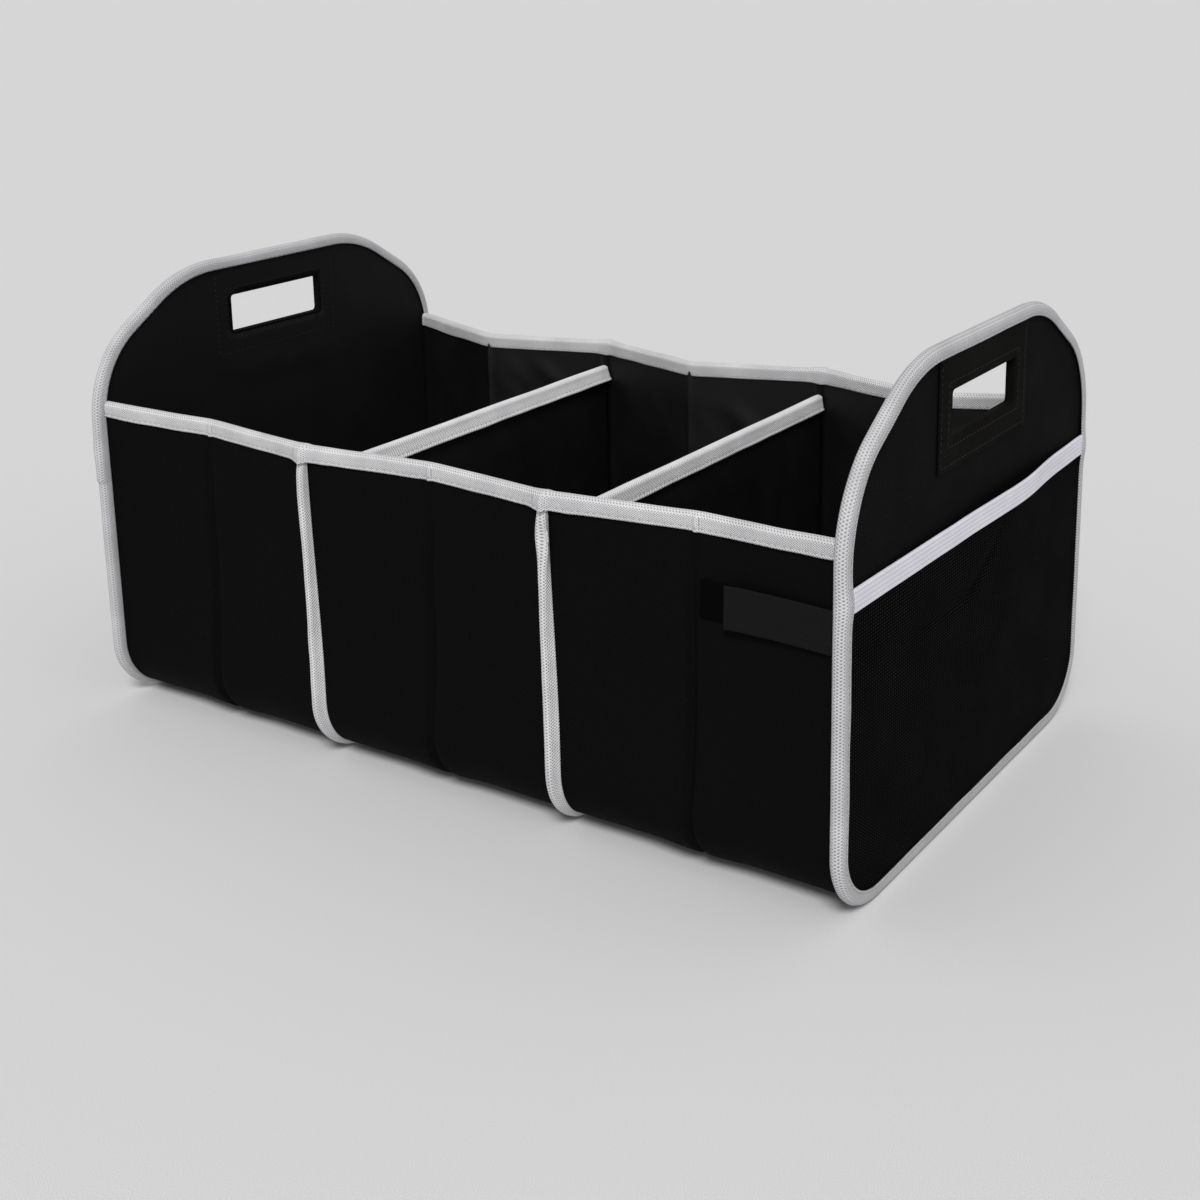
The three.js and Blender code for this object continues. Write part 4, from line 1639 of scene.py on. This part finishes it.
    def draw_in(self, shape: BMesh, tuck: float) -> None:
        """Draws a face's outer edge in towards the panel's middle, twice as far at the shoulders.

        Args:
            shape: The face's mesh.
            tuck: How far it is drawn in elsewhere.
        """
        for vert in shape.verts:
            if self.hole.holds(vert.co, 3 * MM):
                continue
            place = vert.co.yz
            corner = Vector((math.copysign(self.plan.half_width, place.x), self.shoulder_height))
            near = hump((place - corner).length, 0.0, self.tuck_reach)
            vert.co.yz += (Vector((0, self.middle_height)) - place).normalized() * tuck * (1 + near)

    def cut_net(self, shape: BMesh) -> None:
        """Cuts a face along upright and level lines, a cell apart.

        Args:
            shape: The face's mesh.
        """
        half_width, height = 160 * MM, 265 * MM
        for way, low, high in ((Vector((0, 1, 0)), -half_width, half_width), (UP, 0.0, height)):
            count = int((high - low) / self.cell)
            for k in range(1, count):
                everything = shape.verts[:] + shape.edges[:] + shape.faces[:]
                cut = way * between(low, high, k / count)
                bmesh.ops.bisect_plane(shape, geom=everything, dist=1e-6, plane_co=cut, plane_no=way)

    def outer_wrinkle(self, point: Vector) -> float:
        """How far the outer cloth stands out.

        Args:
            point: A point of the panel.

        Returns:
            The distance, in metres.
        """
        if self.hole.holds(point, 18 * MM):
            return 0.0
        near = clamp((self.plan.half_width - abs(point.y)) / (30 * MM))
        loose = 0.5 + 0.5 * ripple(point.y, point.z, self.side * 3.0, self.outer_wrinkle_size)
        return self.outer_slack * near * loose

    def inner_wrinkle(self, point: Vector) -> float:
        """How far the inner cloth stands out: loose, with soft folds under the hand hole and beside it.

        Args:
            point: A point of the panel.

        Returns:
            The distance, in metres.
        """
        away = clamp((self.hole.distance(point) - 2 * MM) / (20 * MM))
        near = clamp((self.plan.half_width - abs(point.y)) / (25 * MM)) * away * away * (3 - 2 * away)
        loose = 0.7 + 0.7 * ripple(point.y, point.z, self.side * 9.0, self.inner_wrinkle_size)
        across = point.y * 1.8 + point.z * 0.8
        loose += 1.1 * max(0.0, ripple(across, point.z * 0.6, self.side * 5.0, self.inner_crease_size))
        line = self.fold_line + self.fold_sway.at(point.y, 0.0, 4.0)
        level = hump(point.z, line, 3.5 * MM) * hump(point.y, 8 * MM, 62 * MM)
        slant = 64 * MM + 0.15 * (point.z - 200 * MM)
        upright = hump(point.y, slant, 3 * MM) * hump(point.z, 185 * MM, 22 * MM)
        folds = self.level_fold * level + self.upright_fold * upright
        return near * (self.inner_slack * loose + folds)

    def tape_point(self, along: float, across: float) -> Vector:
        """Where the edge tape lies: round the panel, and across from its inner to its outer face.

        Args:
            along: Share of the way along, from 0 to 1.
            across: Share of the way across, from 0 to 1.

        Returns:
            The point.
        """
        plan = self.plan
        point, way = self.outline.at(along)
        run = along * self.outline.length
        flat = max(0.0, -way.y) ** 2
        seam = between(plan.panel_seam, plan.seam_rise, flat)
        above = point.y > plan.wall_top + 1.2 * MM
        inner_tip = seam - self.tape_shown + 0.3 * MM if above else plan.gap
        outer_tip = seam - self.tape_shown + self.tape_edge.at(run, self.side, 0.0)
        outer_tip -= self.tape_under * flat + self.back_shown * max(way.x, 0.0) ** 2
        at_elastic = hump(point.y, sum(self.elastic_edges) / 2, 8 * MM) * abs(way.x)
        outer_x = self.face_x + plan.gap + plan.tape + self.tape_over_elastic * at_elastic
        bow = self.tape_bow.at(run, self.side * 2.0, 6.0)
        crest = seam + self.tape_crest.at(run, self.side * 4.0, 2.0)
        if self.side is Side.LEFT and point.x < 0:
            past_join = point.y - self.join
            fading = max(0.0, 1 - past_join / self.join_fade)
            over = self.join_step * clamp(past_join / self.join_rise) * fading
            crest += over
            bow += 0.6 * over
        leg, foot = self.tape_leg, crest - self.tape_shoulder
        low, high = self.inner_leg + self.tape_inner_lean, outer_x - self.tape_outer_lean
        scallop = self.scallop * abs(math.sin(math.pi * run / self.pitch)) if across in (0.0, 1.0) else 0.0
        if across < leg:
            rise = across / leg
            out = between(inner_tip - scallop, foot, rise)
            x = self.inner_leg + self.tape_inner_lean * rise**2
        elif across > 1 - leg:
            rise = (1 - across) / leg
            out = between(outer_tip - scallop, foot, rise)
            x = outer_x - self.tape_outer_lean * rise**2 + max(bow, 0.0) * (1 - rise)
            x -= self.groove * hump(rise, 0.26, 0.09)
        else:
            angle = math.pi * (across - leg) / (1 - 2 * leg)
            x = (low + high) / 2 - (high - low) / 2 * math.cos(angle) * (1 - 0.22 * math.sin(angle) ** 2)
            out = foot + self.tape_shoulder * math.sin(angle) ** 0.9
        return Vector((self.side * x, point.x + way.x * out, point.y + way.y * out))

    def pocket_bow(self, y: float, z: float) -> float:
        """How far the pocket stands off the panel.

        Args:
            y: Place along the panel's width.
            z: Height.

        Returns:
            The distance, in metres.
        """
        wide = clamp(1 - (y / (self.plan.half_width - 4.5 * MM)) ** 2)
        tall = clamp((z - self.pocket_sill) / (self.pocket_top - self.pocket_sill))
        slack = 0.38 * wide**1.5 + 0.62 * wide * hump(y, self.bow_centre, self.pocket_reach)
        return self.pocket_bulge * slack * tall**0.8

    def pocket_crease(self, y: float, z: float) -> float:
        """A soft arc-shaped fold that the slack net hangs in, under the elastic.

        Args:
            y: Place along the panel's width.
            z: Height.

        Returns:
            Its depth, from 0 to 1.
        """
        turned = self.side * y
        past = turned + 20 * MM
        rise = 26 * MM * (past / (40 * MM)) ** 1.5 if past > 0 else -3 * MM * past / (70 * MM)
        line = min(125 * MM + rise, 200 * MM)
        return hump(z, line, 4 * MM) * hump(turned, -30 * MM, 52 * MM)

    def net_point(self, along: float, across: float) -> Vector:
        """Where the net lies: along the width and up from behind the tape.

        Args:
            along: Share of the way along, from 0 to 1.
            across: Share of the way across, from 0 to 1.

        Returns:
            The point.
        """
        plan, margin = self.plan, 1 * MM
        z = between(self.net_foot, self.pocket_top, across)
        radius, widest = plan.corner + margin, plan.half_width + margin
        rise = min(z - plan.seam_rise + margin, radius)
        edge = min(widest - radius + math.sqrt(max(radius**2 - (radius - rise) ** 2, 0.0)), widest)
        y = between(-edge, edge, along)
        bow = self.pocket_bow(y, z)
        held = slack_within(along, 4) * min(1.0, 3 * across)
        loose = max(held * self.net_slack.at(y, z, self.side * 11.0), -0.4 * bow)
        stand = bow + 0.8 * loose - self.net_crease * self.pocket_crease(y, z)
        return Vector((self.side * (self.face_x + max(stand, 0.0)), y, z))

    def elastic_point(self, along: float, across: float) -> Vector:
        """Where the elastic lies: along the pocket's edge and across its ribs.

        Args:
            along: Share of the way along, from 0 to 1.
            across: Share of the way across, from 0 to 1.

        Returns:
            The point.
        """
        reach = self.plan.half_width + 0.9 * MM
        y = between(-reach, reach, along)
        z = between(*self.elastic_edges, across) + self.elastic_edge.at(y, self.side, 8.0)
        z += self.elastic_rise * (0.55 + 0.45 * hump(y, 75 * MM, 60 * MM))
        rib = abs(math.sin(math.pi * across * self.ribs)) ** 0.3
        edge = min(1.0, 14 * across * (1 - across) + 0.25)
        thick = self.elastic_stand * edge - self.rib_depth * (1 - rib)
        tucked = min(1.0, 0.25 + (1 - abs(2 * along - 1)) * reach / (4 * MM))
        wave = slack_within(along, 24) * self.elastic_wave.at(y, 1.0, self.side * 6.0)
        base = self.face_x + self.plan.gap + self.pocket_bow(y, z)
        return Vector((self.side * (base + thick * tucked + max(wave, 0.0)), y, z))

    def build(self) -> None:
        """Builds and dresses the panel's pieces."""
        plan, name, side = self.plan, self.name, self.side
        outer_face = self.face_cloth(f"{name}_end_outer_fabric", side, self.outer_wrinkle, self.tuck)
        outer = new_piece(f"{name}_end_cloth", outer_face, plan.cloth)
        inner_face = self.face_cloth(f"{name}_end_inner_fabric", -side, self.inner_wrinkle, self.tuck)
        inner = new_piece(f"{name}_end_lining", inner_face, plan.cloth)
        self.wardrobe.finish_piece(outer, Finish.OUTER, f"{name}_end_outer_fabric")
        self.wardrobe.finish_piece(inner, Finish.PANEL_LINING, f"{name}_end_inner_fabric")
        board = f"{name}_end_board"
        self.wardrobe.dress(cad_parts[board], Finish.BOARD)
        size = (self.outline.length, 2 * self.tape_shown + 5 * MM)
        counts = (1340, 20)
        tape = draped_grid(f"{name}_end_edge_tape", counts, size, self.tape_point, UP, plan.tape, closed=True)
        # Its finish is the binding tape drawn darker, as painted shade.
        self.wardrobe.finish_piece(tape, Finish.END_TAPE, f"{name}_end_tape")
        self.patch()
        self.pocket()
        self.stitch_edge()
        self.stitch_patch()

    def patch(self) -> None:
        """Builds the patch round the hand hole, with its lips turned through the hole."""
        plan, name, hole = self.plan, self.name, self.hole
        shape = self.face_cloth(f"{name}_handle_patch", self.side, lambda point: 0.0, 0.0)
        rim = [e for e in shape.edges if e.is_boundary and all(hole.holds(v.co, 1 * MM) for v in e.verts)]
        for vert in {vert for edge in rim for vert in edge.verts}:
            vert.co -= self.hole_lip * hole.outward(vert.co)
        for vert in shape.verts:
            if vert.co.z > plan.panel_top - plan.panel_seam + self.lip_return:
                vert.co.z -= self.patch_drop
        depth = self.face_x - plan.inner_x + self.lip_cloth + 0.1 * MM
        through = Vector((-self.side * depth / self.lip_steps, 0, 0))
        for step in range(self.lip_steps + 1):
            grown = bmesh.ops.extrude_edge_only(shape, edges=rim)["geom"]
            moved = [item for item in grown if isinstance(item, BMVert)]
            rim = [item for item in grown if isinstance(item, BMEdge) and all(v in moved for v in item.verts)]
            for vert in moved:
                vert.co += through if step < self.lip_steps else self.lip_return * hole.outward(vert.co)
        shape.normal_update()

        def unrolled(vert: BMVert) -> tuple[float, float]:
            """The patch's own plane, with its lips unrolled."""
            away = vert.co.x * self.side - plan.end_x
            return vert.co.y + away, vert.co.z + away

        set_uv(shape, unrolled)
        patch = new_piece(f"{name}_hand_hole_patch", shape, self.lip_cloth)
        self.wardrobe.finish_piece(patch, Finish.PATCH, f"{name}_handle_patch")

    def pocket(self) -> None:
        """Builds the mesh pocket and its elastic on the panel's outer cloth.
        """
        plan, name = self.plan, self.name
        out = Vector((self.side, 0, 0))
        net_size = (2 * plan.half_width + 4 * MM, self.pocket_top - self.net_foot)
        net = draped_grid(f"{name}_pocket_net", (110, 72), net_size, self.net_point, out, self.net_cloth)
        self.wardrobe.finish_piece(net, Finish.NET, f"{name}_mesh_pocket")
        low, high = self.elastic_edges
        size = (2 * plan.half_width - 6 * MM, high - low)
        piece = f"{name}_pocket_elastic_band"
        elastic = draped_grid(piece, (130, 36), size, self.elastic_point, out, self.elastic_cloth)
        self.wardrobe.finish_piece(elastic, Finish.ELASTIC, f"{name}_pocket_elastic")

    def stitch_edge(self) -> None:
        """Sews the edge tape: all round outside, and inside where it shows above the walls."""
        side, nudge = self.side, 0.0005
        seats = []
        count = round(self.outline.length / self.stitch_pitch)
        for step in range(count):
            along = (step + 0.5) / count
            for across, way in ((0.08, -side), (0.92, side)):
                point = self.tape_point(along, across)
                if way == -side and point.z < self.plan.wall_top + 2 * MM:
                    continue
                ahead = self.tape_point((along + nudge) % 1, across)
                ahead -= self.tape_point((along - nudge) % 1, across)
                seats.append(Seat(point, ahead, Vector((way, 0, 0))))
        self.wardrobe.finish_piece(stitch_row(f"{self.name}_end_tape_stitches", seats), Finish.PALE_THREAD)

    def stitch_patch(self) -> None:
        """Sews the patch inside its edge and round the hand hole, through both cloths."""
        plan, hole = self.plan, self.hole
        low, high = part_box(f"{self.name}_handle_patch")
        left, right = low.y + self.patch_inset, high.y - self.patch_inset
        foot, top = low.z + self.patch_inset, plan.panel_top - self.patch_top
        edge = [(left, top), (left, foot), (right, foot), (right, top)]
        left, right = hole.low_y - self.hole_ring, hole.high_y + self.hole_ring
        foot, top = hole.low_z - self.hole_ring, hole.high_z + self.hole_ring
        ring = [(left, foot), (right, foot), (right, top), (left, top), (left, foot)]
        out = Vector((self.side, 0, 0))
        seats = []
        for corners in (edge, ring):
            for (y0, z0), (y1, z1) in zip(corners, corners[1:]):
                ahead = Vector((0, y1 - y0, z1 - z0))
                steps = max(1, round(math.hypot(y1 - y0, z1 - z0) / self.patch_pitch))
                for k in range(steps):
                    part = (k + 0.5) / steps
                    place = Vector((0, between(y0, y1, part), between(z0, z1, part)))
                    seats.append(Seat(place + out * self.face_x, ahead, out))
                    inner = place + out * (plan.inner_x - self.inner_wrinkle(place))
                    seats.append(Seat(inner, ahead, -out))
        self.wardrobe.finish_piece(stitch_row(f"{self.name}_patch_stitches", seats), Finish.DARK_THREAD)


# Closure straps


@dataclass
class ClosureStrap:
    """A closure strap that comes out of the right-hand end seam and lies on its loop pad."""

    plan: Plan
    compartment: Compartment
    wall: Wall
    wardrobe: Wardrobe
    lift: float = 3 * MM
    pad_cloth: float = 0.7 * MM
    pad_stand: float = 0.8 * MM
    pad_crown: float = 0.6 * MM
    pad_tufts: Wave = Wave(0.15 * MM, 5 * MM)
    strap_cloth: float = 1.2 * MM
    strap_stand: float = 2.6 * MM
    strap_rounding: float = 0.3 * MM
    strap_sway: Wave = Wave(0.3 * MM, 30 * MM)
    pad_box: tuple[Vector, Vector] = field(init=False)
    strap_box: tuple[Vector, Vector] = field(init=False)

    def __post_init__(self) -> None:
        """Reads where the frame has the pad and the strap."""
        self.pad_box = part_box(f"{self.name}_strap_pad")
        self.strap_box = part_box(f"{self.name}_closure_strap")

    @property
    def name(self) -> str:
        """The wall's name."""
        return self.wall.name.lower()

    def off_wall(self, x: float, z: float, stand: float) -> Vector:
        """A point that stands off the compartment's outer cloth at a place and a height.

        Args:
            x: Place along the length.
            z: Height.
            stand: How far it stands off, over the gap.

        Returns:
            The point.
        """
        bay, top = self.compartment.bay, self.plan.cloth_top
        down = (top - z) / self.plan.wall_length(top)
        share = down if self.wall is Wall.FRONT else 1 - down
        cloth = self.compartment.outer_point((x - bay.start) / (bay.end - bay.start), share)
        return Vector((x, cloth.y + self.wall * (self.plan.gap + stand), z))

    def pad_point(self, along: float, across: float) -> Vector:
        """Where the pad lies, from its shares along and up.

        Args:
            along: Share of the way along, from 0 to 1.
            across: Share of the way across, from 0 to 1.

        Returns:
            The point.
        """
        low, high = self.pad_box
        x, z = between(low.x, high.x, along), between(low.z, high.z, across)
        edge = min(slack_within(along, 60), slack_within(across, 25))
        return self.off_wall(x, z, self.pad_stand + self.pad_crown * edge + self.pad_tufts.at(x, z, 2.0))

    def strap_point(self, along: float, across: float) -> Vector:
        """Where the strap lies, from its shares along and up: it lifts towards its seam.

        Args:
            along: Share of the way along, from 0 to 1.
            across: Share of the way across, from 0 to 1.

        Returns:
            The point.
        """
        low, high = self.strap_box
        x, z = between(low.x, high.x, along), between(low.z, high.z, across)
        edge = self.strap_rounding * (1 - slack_within(across, 30))
        place = self.off_wall(x, z, self.strap_stand + self.lift * (1 - along) ** 2 - edge)
        return place + UP * self.strap_sway.at(x, 0.0, 5.0)

    def build(self) -> None:
        """Builds the pad and the strap."""
        out = Vector((0, self.wall, 0))
        low, high = self.pad_box
        size = (high.x - low.x, high.z - low.z)
        pad = draped_grid(f"{self.name}_loop_pad", (60, 20), size, self.pad_point, out, self.pad_cloth)
        self.wardrobe.finish_piece(pad, Finish.PILE, f"{self.name}_strap_pad")
        low, high = self.strap_box
        size = (high.x - low.x, high.z - low.z)
        strap = draped_grid(f"{self.name}_strap", (60, 40), size, self.strap_point, out, self.strap_cloth)
        self.wardrobe.finish_piece(strap, Finish.STRAP, f"{self.name}_closure_strap")


# Studio


@dataclass
class Studio:
    """Pale floor, soft light and the camera at the photograph's angle."""

    position: Vector = field(default_factory=lambda: Vector((0.58095, -0.82177, 0.45303)))
    azimuth: float = 35.01
    elevation: float = 14.04
    roll: float = -1.25
    lens: float = 52.71
    shift: tuple[float, float] = (0.010, -0.18)
    floor_size: float = 60.0
    sky: float = 0.5
    key: float = 2.35
    key_azimuth: float = 29.0
    key_elevation: float = 46.0
    key_softness: float = 20.0

    def build(self) -> None:
        """Makes the floor, the lights and the camera."""
        self.lay_floor()
        self.light()
        self.aim_camera()
        bpy.context.scene.view_settings.view_transform = "Standard"

    def lay_floor(self) -> None:
        """A plain paper floor, large enough to fill the view."""
        shape = bmesh.new()
        bmesh.ops.create_grid(shape, x_segments=1, y_segments=1, size=self.floor_size / 2)
        floor = new_piece("studio_floor", shape)
        material, tree = empty_material("studio paper")
        grain = add_node(tree, "MapRange", i0=mottling(tree, 2400, 0, uv=False), i1=0.3, i2=0.7)
        tint = add_node(tree, "Mix", COLOURS, i0=grain, i6=linear("c6c6c6"), i7=linear("dedede"))
        paper = add_node(tree, "BsdfPrincipled", Base_Color=tint, Roughness=0.95, Specular_IOR_Level=0.0)
        add_node(tree, "OutputMaterial", Surface=paper)
        floor.data.materials.append(material)

    def light(self) -> None:
        """An even sky and one soft key from the front."""
        world = bpy.data.worlds.new("studio sky")
        world.use_nodes = True
        backdrop = world.node_tree.nodes["Background"]
        backdrop.inputs["Color"].default_value = (1, 1, 1, 1)
        backdrop.inputs["Strength"].default_value = self.sky
        bpy.context.scene.world = world
        sun = bpy.data.lights.new("studio key", "SUN")
        sun.energy = self.key
        sun.angle = math.radians(self.key_softness)
        lamp = bpy.data.objects.new("studio key", sun)
        bpy.context.scene.collection.objects.link(lamp)
        turn, rise = math.radians(self.key_azimuth), math.radians(self.key_elevation)
        back = Vector((math.sin(turn) * math.cos(rise), -math.cos(turn) * math.cos(rise), math.sin(rise)))
        lamp.rotation_euler = back.to_track_quat("Z", "Y").to_euler()

    def aim_camera(self) -> None:
        """Places the camera from its measured position, direction and roll."""
        turn, rise, roll = (math.radians(angle) for angle in (self.azimuth, self.elevation, self.roll))
        ahead = Vector((-math.sin(turn) * math.cos(rise), math.cos(turn) * math.cos(rise), -math.sin(rise)))
        level = Vector((math.cos(turn), math.sin(turn), 0))
        up = level.cross(ahead)
        right = level * math.cos(roll) + up * math.sin(roll)
        above = right.cross(ahead)
        lens = bpy.data.cameras.new("studio camera")
        lens.lens = self.lens
        lens.sensor_width = 36
        lens.sensor_fit = "AUTO"
        lens.shift_x, lens.shift_y = self.shift
        lens.clip_start, lens.clip_end = 0.01, 200
        camera = bpy.data.objects.new("studio camera", lens)
        bpy.context.scene.collection.objects.link(camera)
        axes = Matrix((right, above, -ahead)).transposed()
        camera.matrix_world = Matrix.Translation(self.position) @ axes.to_4x4()
        bpy.context.scene.camera = camera


def main() -> None:
    """Builds the organizer's pieces, then the studio."""
    logging.basicConfig(level=logging.INFO, format="%(message)s")
    plan = Plan.from_frame()
    wardrobe = Wardrobe()
    compartments = [Compartment(plan, bay, wardrobe) for bay in plan.bays]
    for compartment in compartments:
        compartment.build()
    for side in Side:
        Divider(plan, side, wardrobe).build()
    for wall in Wall:
        WallTape(plan, wall, wardrobe).build()
    for side in Side:
        EndPanel(plan, side, wardrobe).build()
    for wall in Wall:
        ClosureStrap(plan, compartments[-1], wall, wardrobe).build()
    Studio().build()


if __name__ == "__main__":
    main()
